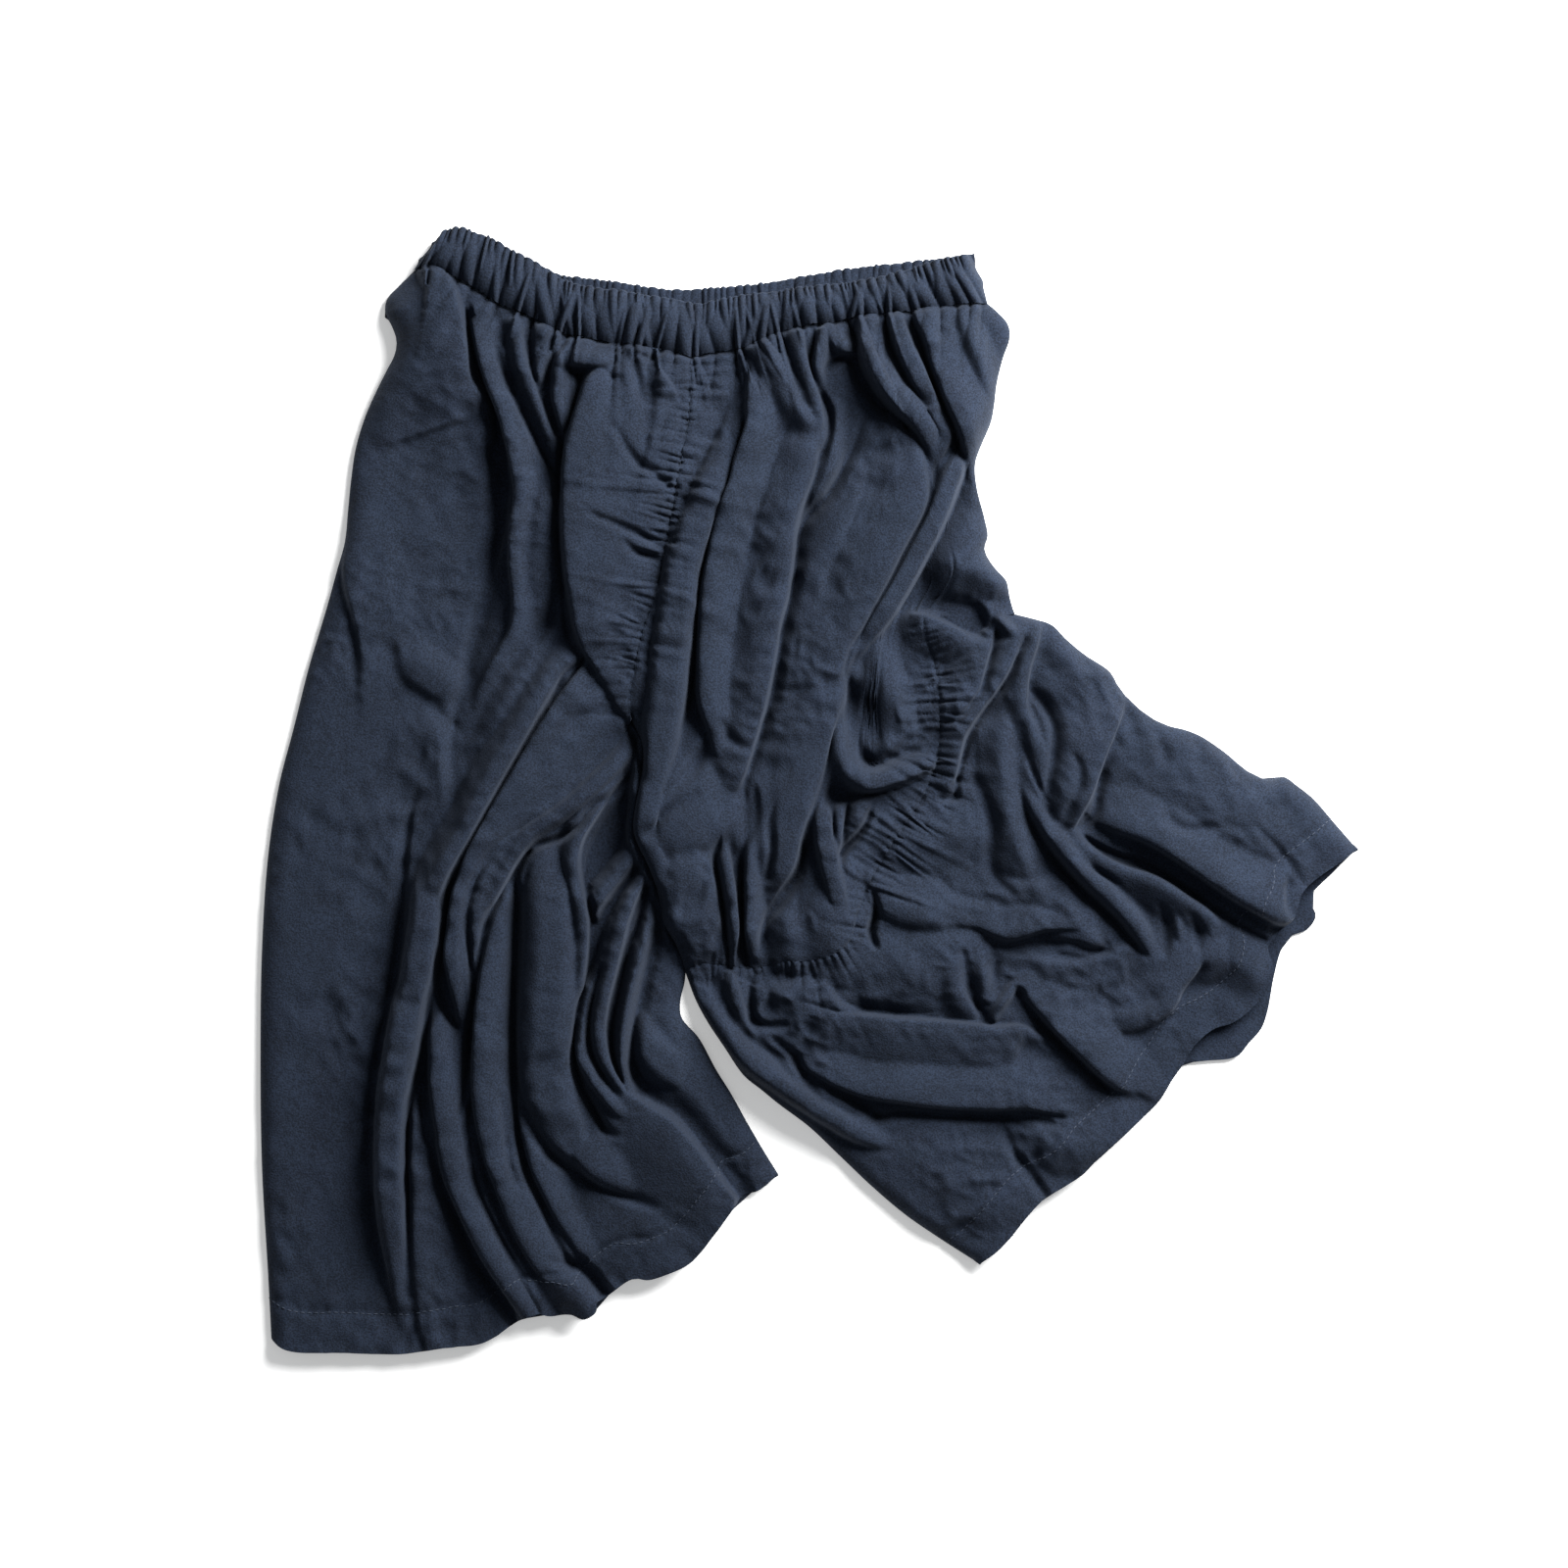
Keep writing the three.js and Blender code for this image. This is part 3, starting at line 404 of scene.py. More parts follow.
        (-72, 24, 6), (-76, 4, 12), (-82, -20, 14), (-80, -36, 12), (-74, -48, 6),
    ]),
    ("bag foot", 20, 17, "both", [
        (-76, -30, 7), (-78, -46, 12), (-76, -62, 13), (-73, -80, 12), (-70, -96, 8), (-68, -108, 3),
    ]),
    ("cone ridge", 12, 9, "", [
        (-24, 291, 6), (-27, 280, 9), (-19, 263, 12), (-10, 247, 13), (0, 235, 13), (5, 226, 10),
    ]),
    ("cone east", 8, 4, "east", [
        (-7, 292, 6), (-5, 276, 9), (0, 258, 11), (4, 244, 12), (5, 232, 11), (3, 222, 8),
    ]),
    ("soft streak", 14, 12, "", [
        (34, 200, 6), (22, 172, 9), (10, 142, 9), (2, 110, 8), (-4, 78, 8), (-10, 46, 6), (-16, 16, 4),
    ]),
    ("lens", 4, 4, "", [(9, 9, 5), (16, 11, 8), (22, 9, 4)]),
    ("knee ridge two", 4, 4, "east", [(20, -4, 5), (18, -17, 9), (17, -30, 9), (16, -38, 4)]),
    ("knee facet", 7, 8, "", [(31, -5, 6), (31, -16, 9), (26, -26, 6)]),
    ("knee dome", 20, 18, "", [(10, -58, 7), (12, -80, 11), (16, -100, 9), (20, -112, 5)]),
    ("west dome", 10, 14, "", [(-14, -72, 6), (-14, -88, 10), (-12, -104, 7)]),
    ("facet rib", 4, 5, "", [(163, 26, 3), (158, 8, 8), (155, -8, 8), (156, -19, 5)]),
    ("neck tip", 5, 4, "", [(121, 110, 4), (128, 103, 7), (130, 94, 5), (126, 84, 3)]),
    ("neck long swell", 10, 9, "", [
        (126, 52, 4), (123, 37, 8), (122, 21, 8), (124, 2, 8), (128, -20, 8), (134, -39, 8),
        (141, -56, 4), (145, -64, 2),
    ]),
    ("lobe east", 14, 9, "", [
        (128, -62, 4), (146, -62, 7), (160, -70, 8), (172, -82, 8), (182, -94, 8), (188, -98, 3),
    ]),
    ("loop left", 4, 4, "", [(233, -72, 5), (235, -86, 8), (235, -100, 4)]),
    ("loop right", 4, 5, "", [(252, -74, 6), (256, -86, 8), (254, -98, 5), (247, -107, 3)]),
    ("lens rim", 14, 4, "", [
        (140, -106, 3), (156, -110, 5), (172, -110, 6), (188, -105, 6), (200, -99, 6), (210, -101, 3),
    ]),
    ("lens two", 4, 5, "", [(108, -102, 4), (110, -116, 7), (113, -130, 4)]),
    ("light line", 3, 3, "", [(131, -122, 4), (123, -133, 8), (117, -144, 5)]),
    ("pleat apron", 10, 14, "", [
        (-175, 200, 3), (-172, 187, 8), (-173, 165, 8), (-174, 145, 7), (-176, 125, 4),
    ]),
    ("fifth pleat", 4, 6, "west", [
        (-160, 271, 4), (-161, 256, 8), (-157, 240, 9), (-153, 226, 5), (-152, 215, 2),
    ]),
    ("waist flap", 4, 8, "west", [
        (-131, 273, 5), (-124, 268, 8), (-117, 266, 8), (-110, 270, 7), (-104, 278, 4),
    ]),
    ("puff diagonal", 20, 5, "east", [
        (-134, 246, 2), (-127, 230, 6), (-120, 218, 8), (-111, 206, 9), (-101, 199, 8), (-93, 191, 5),
        (-87, 185, 2),
    ]),
    ("seam ridge", 6, 8, "", [(-80, 248, 4), (-88, 235, 8), (-94, 222, 8), (-98, 212, 4)]),
    ("shoulder edge", 14, 4, "east", [(-104, 276, 4), (-97, 266, 8), (-90, 256, 8), (-85, 248, 4)]),
]

# Furrows between them: name, reach west and east, and the line of [x, y, depth].
FURROWS = [
    # waist to knee seam
    ("hip trough", 3, 3, [(-219, 306, 5), (-217, 290, 8), (-213, 274, 8), (-206, 258, 8), (-201, 246, 7)]),
    ("beside second pleat", 3, 4, [
        (-199, 282, 4), (-194, 266, 7), (-187, 250, 8), (-178, 231, 9), (-171, 216, 9), (-164, 204, 8),
        (-159, 194, 5),
    ]),
    ("third crevice", 3, 3, [
        (-178, 300, 5), (-178, 284, 6), (-177, 271, 5), (-172, 254, 5), (-168, 242, 5), (-161, 225, 5),
        (-156, 211, 4),
    ]),
    ("left puff crevice", 4, 3, [
        (-146, 266, 7), (-148, 253, 7), (-153, 234, 7), (-157, 219, 8), (-159, 199, 8), (-161, 180, 6),
        (-160, 160, 5), (-157, 130, 4), (-154, 100, 4), (-144, 84, 2),
    ]),
    ("puff crease one", 4, 6, [
        (-124, 232, 2), (-116, 218, 3), (-108, 208, 5), (-98, 202, 4), (-88, 193, 2),
    ]),
    ("puff crease two", 4, 4, [
        (-138, 176, 2), (-122, 170, 4), (-108, 164, 5), (-98, 158, 4), (-90, 154, 2),
    ]),
    ("puff crease three", 5, 4, [(-118, 159, 2), (-110, 153, 6), (-100, 150, 6), (-94, 148, 2)]),
    ("roll crevice", 3, 5, [
        (-41, 236, 4), (-50, 208, 7), (-58, 182, 9), (-64, 160, 10), (-69, 138, 10), (-71, 112, 11),
        (-73, 88, 11), (-76, 68, 10), (-80, 50, 6), (-84, 40, 2),
    ]),
    ("beside drape", 5, 8, [
        (34, 236, 2), (23, 211, 5), (11, 189, 6), (-2, 175, 8), (-8, 160, 8), (-10, 142, 7),
        (-12, 126, 7), (-17, 107, 7), (-20, 86, 7), (-24, 62, 6), (-30, 42, 5), (-36, 24, 4),
        (-42, 6, 2),
    ]),
    ("beside main drape", 5, 5, [
        (73, 214, 4), (76, 190, 7), (73, 180, 8), (67, 168, 9), (58, 153, 9), (50, 137, 8),
        (41, 121, 6), (34, 107, 5), (24, 91, 4), (21, 78, 3),
    ]),
    ("beside long roll", 4, 14, [
        (101, 208, 3), (95, 190, 6), (88, 174, 7), (80, 157, 8), (72, 141, 9), (65, 128, 10),
        (56, 112, 9), (47, 99, 5),
    ]),
    ("under side swell", 5, 12, [
        (60, 118, 4), (76, 119, 11), (92, 116, 13), (104, 111, 14), (110, 106, 12),
    ]),
    ("pleat gap one", 4, 5, [
        (66, 298, 3), (73, 280, 6), (77, 264, 10), (81, 252, 14), (84, 243, 13), (89, 232, 9),
        (96, 216, 5), (99, 206, 2),
    ]),
    ("pleat gap two", 3, 4, [
        (46, 302, 3), (50, 286, 6), (55, 273, 7), (61, 262, 7), (70, 253, 6), (76, 246, 3),
    ]),
    ("pleat gap three", 8, 4, [
        (28, 300, 3), (31, 288, 6), (30, 274, 9), (37, 260, 11), (46, 248, 9), (58, 238, 6),
        (68, 228, 4), (74, 218, 2),
    ]),
    ("pleat gap four", 4, 4, [
        (1, 300, 3), (3, 286, 6), (1, 272, 6), (6, 256, 6), (12, 244, 7), (13, 230, 6), (8, 214, 4),
    ]),
    ("waist gap left", 6, 6, [(-118, 284, 2), (-112, 270, 4), (-108, 254, 2)]),
    ("v notch", 8, 4, [(23, 74, 3), (28, 64, 6), (38, 58, 7), (50, 54, 6), (56, 44, 3)]),
    ("under knee bag", 5, 3, [
        (8, 0, 5), (16, -1, 8), (26, -2, 9), (38, -1, 9), (49, 3, 9), (60, 7, 7), (72, 12, 4),
    ]),
    ("bag pocket", 6, 8, [(25, 60, 4), (24, 44, 6), (27, 30, 7), (34, 20, 8), (43, 18, 7), (54, 22, 3)]),
    ("knee dark", 3, 5, [
        (40, -8, 4), (35, -21, 10), (28, -30, 12), (20, -38, 13), (18, -47, 9), (19, -56, 3),
    ]),
    ("roll foot one", 3, 4, [
        (-58, -32, 6), (-61, -42, 10), (-59, -54, 12), (-56, -70, 13), (-54, -86, 13), (-52, -102, 10),
        (-52, -112, 5),
    ]),
    ("roll foot two", 3, 4, [
        (-41, 0, 3), (-40, -20, 6), (-42, -42, 8), (-43, -62, 13), (-43, -84, 15), (-43, -100, 14),
        (-41, -110, 8),
    ]),
    ("roll foot three", 2, 2, [(-35, 2, 4), (-34, -10, 7), (-34, -22, 5)]),
    ("roll foot four", 4, 4, [(-25, -16, 3), (-24, -36, 6), (-27, -54, 5)]),
    ("lobe crease", 5, 6, [(-66, -48, 2), (-71, -60, 4), (-76, -70, 5), (-80, -78, 2)]),
    ("crotch crease", 5, 5, [(-72, 0, 2), (-82, -9, 4), (-94, -18, 5), (-108, -30, 3)]),
    # left leg
    ("beside first long", 6, 5, [
        (-146, 84, 5), (-157, 76, 7), (-163, 65, 9), (-168, 53, 10), (-175, 40, 9), (-187, 20, 6),
        (-197, 2, 6), (-208, -15, 6), (-217, -32, 7), (-227, -48, 8), (-231, -62, 8), (-233, -90, 8),
        (-237, -110, 8), (-243, -126, 6), (-245, -150, 8), (-248, -174, 10), (-254, -193, 12),
        (-257, -221, 12), (-256, -265, 11), (-257, -293, 9), (-256, -321, 4),
    ]),
    ("beside second long", 4, 4, [
        (-190, -30, 1), (-204, -42, 4), (-213, -58, 5), (-217, -74, 7), (-217, -100, 9),
        (-214, -130, 10), (-217, -160, 9), (-219, -180, 7), (-222, -204, 3),
    ]),
    ("beside seam fold", 4, 5, [
        (-114, 12, 5), (-126, 0, 8), (-139, -10, 10), (-150, -23, 9), (-164, -31, 8), (-177, -35, 8),
        (-188, -50, 9), (-198, -66, 9), (-205, -80, 9), (-209, -96, 8), (-211, -112, 7),
        (-212, -130, 5),
    ]),
    ("dark pocket", 14, 12, [
        (-116, -6, 9), (-124, -22, 18), (-130, -34, 20), (-136, -46, 16), (-142, -58, 8),
    ]),
    ("second pocket", 6, 5, [
        (-180, -38, 5), (-187, -50, 9), (-187, -75, 12), (-188, -100, 12), (-189, -136, 12),
        (-189, -166, 11), (-188, -196, 10), (-185, -221, 9), (-178, -246, 8), (-169, -265, 6),
        (-162, -284, 5), (-152, -303, 4),
    ]),
    ("beside broad fold", 4, 5, [
        (-143, -58, 4), (-140, -76, 9), (-139, -94, 12), (-141, -110, 12), (-144, -127, 12),
        (-148, -152, 12), (-151, -171, 11), (-146, -187, 10), (-137, -203, 8), (-131, -214, 5),
    ]),
    ("inner gap one", 3, 4, [
        (-132, -112, 5), (-138, -130, 8), (-141, -148, 8), (-140, -164, 7), (-132, -180, 6),
        (-122, -192, 3),
    ]),
    ("inner gap two", 4, 5, [
        (-104, -60, 6), (-109, -80, 9), (-116, -102, 9), (-121, -124, 9), (-126, -150, 9),
        (-125, -170, 8), (-120, -184, 4),
    ]),
    ("inner gap three", 6, 8, [
        (-97, -60, 6), (-97, -84, 8), (-103, -108, 9), (-109, -132, 10), (-113, -158, 11),
        (-113, -180, 11), (-108, -192, 6),
    ]),
    ("rim foot", 3, 16, [
        (-112, -180, 6), (-100, -196, 8), (-86, -205, 8), (-74, -217, 8), (-62, -234, 8),
        (-50, -250, 7), (-42, -262, 5),
    ]),
    ("hem pocket left", 5, 7, [(-243, -160, 3), (-246, -180, 8), (-247, -200, 7), (-244, -222, 4)]),
    ("hem pocket", 8, 4, [
        (-240, -222, 3), (-237, -240, 7), (-229, -262, 9), (-219, -284, 10), (-210, -300, 12),
        (-200, -314, 12), (-192, -328, 12), (-188, -338, 10),
    ]),
    ("flap gap", 5, 9, [(-160, -300, 3), (-150, -302, 8), (-140, -310, 10), (-132, -320, 8)]),
    ("flap crease", 3, 4, [(-108, 278, 3), (-100, 276, 6), (-94, 280, 4)]),
    ("lobe crevice", 4, 6, [(-142, -196, 2), (-136, -208, 6), (-130, -216, 6), (-124, -218, 2)]),
    ("rib gap", 4, 4, [(-196, -192, 3), (-193, -215, 5), (-190, -238, 5), (-186, -250, 2)]),
    ("left soft valley", 9, 4, [
        (-250, 0, 1), (-255, -16, 3), (-258, -40, 5), (-260, -66, 6), (-261, -93, 6), (-265, -118, 6),
        (-271, -150, 5), (-277, -190, 4), (-279, -230, 4), (-277, -276, 3), (-270, -306, 2),
    ]),
    ("soft crease two", 8, 14, [
        (-200, 140, 3), (-209, 110, 6), (-217, 90, 6), (-219, 73, 7), (-223, 60, 6), (-228, 40, 5),
        (-229, 22, 5), (-227, 6, 4), (-229, -8, 2),
    ]),
    # right leg below the knee seam
    ("neck notch", 6, 7, [(84, 112, 6), (95, 108, 12), (105, 103, 12), (112, 99, 5)]),
    ("neck gap one", 3, 4, [
        (120, 104, 2), (117, 92, 4), (114, 80, 5), (111, 68, 5), (103, 56, 4), (94, 46, 2),
    ]),
    ("neck gap two", 3, 3, [
        (142, 106, 2), (135, 93, 5), (127, 72, 6), (119, 61, 6), (110, 48, 6), (102, 35, 6),
        (98, 21, 5), (94, 8, 4),
    ]),
    ("facet foot", 4, 9, [
        (140, 66, 3), (148, 57, 6), (155, 42, 7), (155, 24, 7), (152, 6, 6), (152, -12, 4),
        (156, -24, 2),
    ]),
    ("beside facet", 3, 6, [
        (204, 58, 1), (196, 38, 3), (188, 20, 5), (184, 2, 7), (181, -14, 7), (174, -22, 4),
    ]),
    ("ridge foot", 6, 4, [
        (137, -4, 2), (141, -17, 4), (151, -35, 5), (161, -47, 6), (173, -62, 6), (186, -74, 6),
        (198, -84, 6), (206, -94, 5), (214, -102, 3),
    ]),
    ("deep wedge", 5, 4, [
        (172, -28, 5), (184, -35, 8), (198, -41, 9), (213, -46, 10), (228, -55, 11), (244, -66, 11),
        (260, -76, 10), (276, -86, 9), (290, -94, 6),
    ]),
    ("under light crest", 5, 4, [(238, -130, 2), (246, -120, 5), (250, -111, 4)]),
    ("s furrow", 6, 3, [
        (112, -93, 2), (126, -99, 4), (140, -97, 4), (154, -95, 4), (168, -96, 4), (182, -101, 5),
        (190, -101, 3),
    ]),
    ("lens gap", 4, 4, [(98, -102, 3), (101, -118, 5), (107, -136, 5), (113, -146, 4)]),
    ("long furrow", 5, 4, [
        (133, -128, 3), (141, -137, 5), (150, -148, 7), (160, -159, 7), (175, -173, 7), (186, -184, 7),
        (192, -190, 4),
    ]),
    ("over upper shelf", 3, 8, [(12, -122, 2), (22, -134, 5), (38, -139, 6), (56, -141, 5), (70, -142, 2)]),
    ("under broad shelf", 6, 3, [
        (44, -207, 5), (60, -204, 5), (86, -206, 4), (118, -207, 4), (140, -207, 4), (160, -212, 2),
    ]),
    ("inner roll crevice", 4, 6, [
        (-54, -130, 1), (-46, -146, 3), (-36, -160, 4), (-24, -168, 5), (-12, -181, 5), (0, -189, 5),
        (14, -199, 5), (28, -205, 4),
    ]),
    ("hem furrow", 6, 6, [(123, -212, 2), (131, -231, 5), (141, -244, 5), (150, -257, 4)]),
    ("upper slope furrow", 6, 5, [(227, -8, 2), (231, -19, 4), (243, -24, 4), (258, -22, 2)]),
    ("outer furrow one", 5, 6, [(221, 38, 2), (226, 22, 3), (224, 16, 1)]),
    ("outer furrow two", 5, 6, [(245, 37, 2), (248, 23, 2), (247, 14, 1)]),
    # smaller hollows all over
    ("v crevice", 4, 5, [(-239, -100, 2), (-237, -121, 7), (-232, -140, 8), (-225, -150, 5)]),
    ("inseam strip", 3, 3, [
        (-220, -212, 2), (-215, -240, 4), (-206, -265, 4), (-193, -290, 4), (-181, -309, 3),
    ]),
    ("back layer low", 30, 34, [(-84, -150, 3), (-70, -180, 5), (-56, -210, 6), (-40, -240, 5)]),
    ("under lobe fold", 5, 9, [
        (-184, -200, 2), (-176, -216, 4), (-164, -232, 6), (-152, -240, 6), (-136, -250, 5),
        (-116, -258, 4), (-100, -264, 2),
    ]),
    ("hollow gap", 5, 6, [
        (-106, -44, 5), (-118, -61, 9), (-129, -77, 11), (-137, -93, 12), (-140, -108, 10),
        (-140, -120, 4),
    ]),
    ("puff shade", 9, 7, [(-160, 130, 3), (-166, 110, 6), (-174, 96, 3)]),
    ("crotch hollow", 4, 6, [(-119, 48, 4), (-113, 34, 10), (-107, 20, 8), (-104, 8, 4)]),
    ("strip valley", 9, 10, [(-124, 56, 2), (-142, 50, 3), (-158, 38, 3), (-174, 16, 2)]),
    ("drape foot", 4, 8, [(-62, 38, 2), (-68, 26, 4), (-75, 14, 6), (-82, 4, 4), (-90, -2, 2)]),
    ("main drape foot", 3, 5, [
        (17, 46, 3), (13, 30, 6), (9, 14, 7), (5, 1, 8), (0, -12, 10), (-4, -26, 12), (-5, -40, 14),
        (-8, -52, 13), (-15, -63, 11), (-23, -74, 9), (-30, -86, 8), (-31, -98, 6), (-29, -108, 3),
    ]),
    ("under flap", 7, 2, [(11, 272, 4), (18, 278, 8), (27, 279, 9), (32, 276, 6)]),
    ("waist shade", 10, 6, [(40, 262, 3), (50, 246, 4), (62, 232, 3)]),
    ("ridge gap", 2, 2, [(13, -4, 4), (14, -18, 6), (14, -30, 4)]),
    ("ridge gap two", 2, 2, [(25, -3, 4), (23, -16, 6), (20, -28, 4)]),
    ("drape slant", 6, 7, [(-56, 44, 2), (-50, 34, 4), (-42, 28, 2)]),
    ("seam crevice", 4, 4, [(41, -64, 4), (43, -76, 9), (39, -88, 10), (42, -98, 5)]),
    ("lens gap two", 3, 4, [(118, -98, 2), (118, -112, 4), (116, -124, 3)]),
    ("dark u", 5, 5, [(-38, -120, 4), (-38, -134, 7), (-35, -146, 7), (-26, -149, 5), (-16, -148, 3)]),
    ("outer furrow three", 5, 6, [(266, 28, 2), (272, 12, 2)]),
    ("seam pocket", 4, 4, [(94, 6, 4), (92, -4, 6), (84, -4, 4)]),
    ("neck valley", 7, 6, [
        (106, 9, 2), (114, -8, 4), (118, -24, 4), (115, -40, 4), (119, -55, 4), (129, -64, 2),
    ]),
    ("inner line", 2, 3, [(135, 43, 2), (138, 24, 3), (143, 11, 4), (150, -5, 3)]),
    ("facet valley", 4, 3, [(170, 22, 2), (173, 11, 4), (169, -2, 4), (164, -15, 4), (160, -26, 2)]),
    ("between ridges", 2, 3, [(170, -40, 3), (179, -48, 5), (189, -54, 5), (196, -58, 2)]),
    ("ridge pocket", 3, 4, [(224, -72, 2), (227, -82, 5), (227, -96, 5), (225, -103, 2)]),
    ("loop pocket", 4, 4, [(243, -78, 2), (248, -88, 5), (247, -98, 4)]),
    ("outer furrow zero", 5, 5, [(204, 52, 2), (206, 36, 2), (200, 28, 2)]),
    ("tip streak", 5, 5, [(282, -20, 1), (298, -36, 2), (308, -48, 2), (314, -58, 1)]),
    ("soft band", 6, 8, [(181, -136, 2), (200, -137, 2), (219, -132, 2)]),
    ("side furrow", 6, 6, [(81, -53, 1), (92, -64, 2), (111, -69, 2)]),
    ("shelf pocket", 5, 6, [(14, -190, 2), (30, -198, 7), (43, -207, 6)]),
    ("shelf wedge", 5, 5, [(-22, -158, 3), (-10, -168, 6), (-4, -180, 6), (4, -188, 3)]),
    ("back wedge", 7, 5, [(-18, -204, 3), (-2, -216, 4), (12, -228, 4), (20, -236, 2)]),
    ("hip trough low", 16, 4, [
        (-200, 243, 6), (-197, 225, 8), (-194, 205, 9), (-194, 185, 9), (-196, 168, 8), (-200, 150, 6),
        (-206, 132, 3), (-215, 104, 2),
    ]),
    ("fourth crevice", 3, 3, [
        (-152, 294, 3), (-157, 285, 5), (-164, 276, 6), (-168, 264, 6), (-171, 256, 3),
    ]),
    ("overhang hole", 5, 5, [(-154, 270, 5), (-146, 265, 8), (-138, 268, 4)]),
]


def roll(share, rolled):
    """The height of a fold's flank, from 1 on its crest to 0 at its foot. An open flank is rounded at
    the crest and then straight, down to a sharp valley; a rolled one ends almost upright."""
    share = np.clip(share, 0, 1)
    if rolled:
        return np.sqrt(1 - share**2)
    crest = 0.22  # the share of the flank that is rounded
    return (math.hypot(1, crest) - np.hypot(share, crest)) / (math.hypot(1, crest) - crest)


def reach_at(lift, top):
    """A fold narrows where it fades out."""
    return 0.35 + 0.65 * np.sqrt(np.clip(lift / top, 0, 1))


lie = np.zeros_like(grid_x)  # how far the folds lift the cloth
lean = np.zeros(grid_x.shape + (2,))  # and how far they hang over sideways
for name, west, east, rolled, line in FOLDS:
    line = smooth_line(line)
    on_west, on_east = (rolled in (end, "both") for end in ("west", "east"))
    west *= ROLLED_SPREAD if on_west else SPREAD
    east *= ROLLED_SPREAD if on_east else SPREAD
    place = window(line, max(west, east))
    far, side, _, lift, way = near_line(grid_x[place], grid_y[place], line)
    lift = np.maximum(lift[..., 0], 0)
    narrow = reach_at(lift, line[:, 2].max())
    is_west = side > 0
    share = far / (np.where(is_west, west, east) * narrow)
    height = lift * np.where(is_west, roll(share, on_west), roll(share, on_east))
    here = lie[place]
    wins = np.clip(0.5 + (height - here) / (2 * CRISP), 0, 1)
    lie[place] = here + wins * (height - here) + CRISP * wins * (1 - wins) * np.clip(height, 0, 1)
    hang = HANG * height * np.clip(1.15 - share, 0, 1) * (np.where(is_west, on_west, on_east))
    out = np.stack([way[..., 1], -way[..., 0]], axis=-1) * side[..., None]
    lean[place] += wins[..., None] * (hang[..., None] * out - lean[place])

for name, west, east, line in FURROWS:
    line = smooth_line(line)
    place = window(line, max(west, east))
    far, side, _, depth, _ = near_line(grid_x[place], grid_y[place], line)
    depth = np.maximum(depth[..., 0], 0)
    share = far / (np.where(side > 0, west, east) * reach_at(depth, line[:, 2].max()))
    lie[place] -= FURROW_DEPTH * depth * (1 - np.clip(share, 0, 1)) ** FURROW_SHARPNESS


def blurred(field, reach):
    """A field with everything finer than reach smoothed away."""
    rows = np.fft.fftfreq(field.shape[0])[:, None]
    columns = np.fft.rfftfreq(field.shape[1])[None, :]
    keep = np.exp(-2 * (math.pi * reach / CELL) ** 2 * (rows**2 + columns**2))
    return np.fft.irfft2(np.fft.rfft2(field) * keep, s=field.shape)


def crumple(size, seed):
    """Uneven hills and dips of about one size, with heights of about -1 to 1."""
    rough = np.random.default_rng(seed).standard_normal(grid_x.shape)
    hills = blurred(rough, size / 2.6) - blurred(rough, size)
    return hills / (2 * hills.std())


def creased(size, seed):
    """Rumples with sharp crests, as in washed linen, with heights of about -1 to 1."""
    hills = crumple(size, seed)
    ridge = 1 - np.abs(hills) * 2.2
    return ridge - ridge.mean()


lie = FOLD_HEIGHT * blurred(lie, SOFTENED)
lean = np.stack([blurred(lean[..., k], LEAN_SOFTENED) for k in (0, 1)], axis=-1)
rumpled = np.clip(0.6 + 0.7 * crumple(60, 5), 0.1, 1.5)  # washed cloth is more rumpled in some places
RUMPLES = [(36, 1, 0.8), (19, 2, 1.0), (9, 3, 0.6)]  # size, seed and height
rumples = sum(height * creased(size, seed) for size, seed, height in RUMPLES)
lie += rumpled * rumples + 0.5 * crumple(50, 4)
lie += 0.12 * creased(5, 6)

# ---- Panels: how a piece is cut and laid ---------------------------------------------------------
# Each leg panel is one piece of plain-weave cloth, sewn to its neighbours along the curves below and
# laid over the folds above. Curves are [x, y] points seen from above; they run down or to the right.

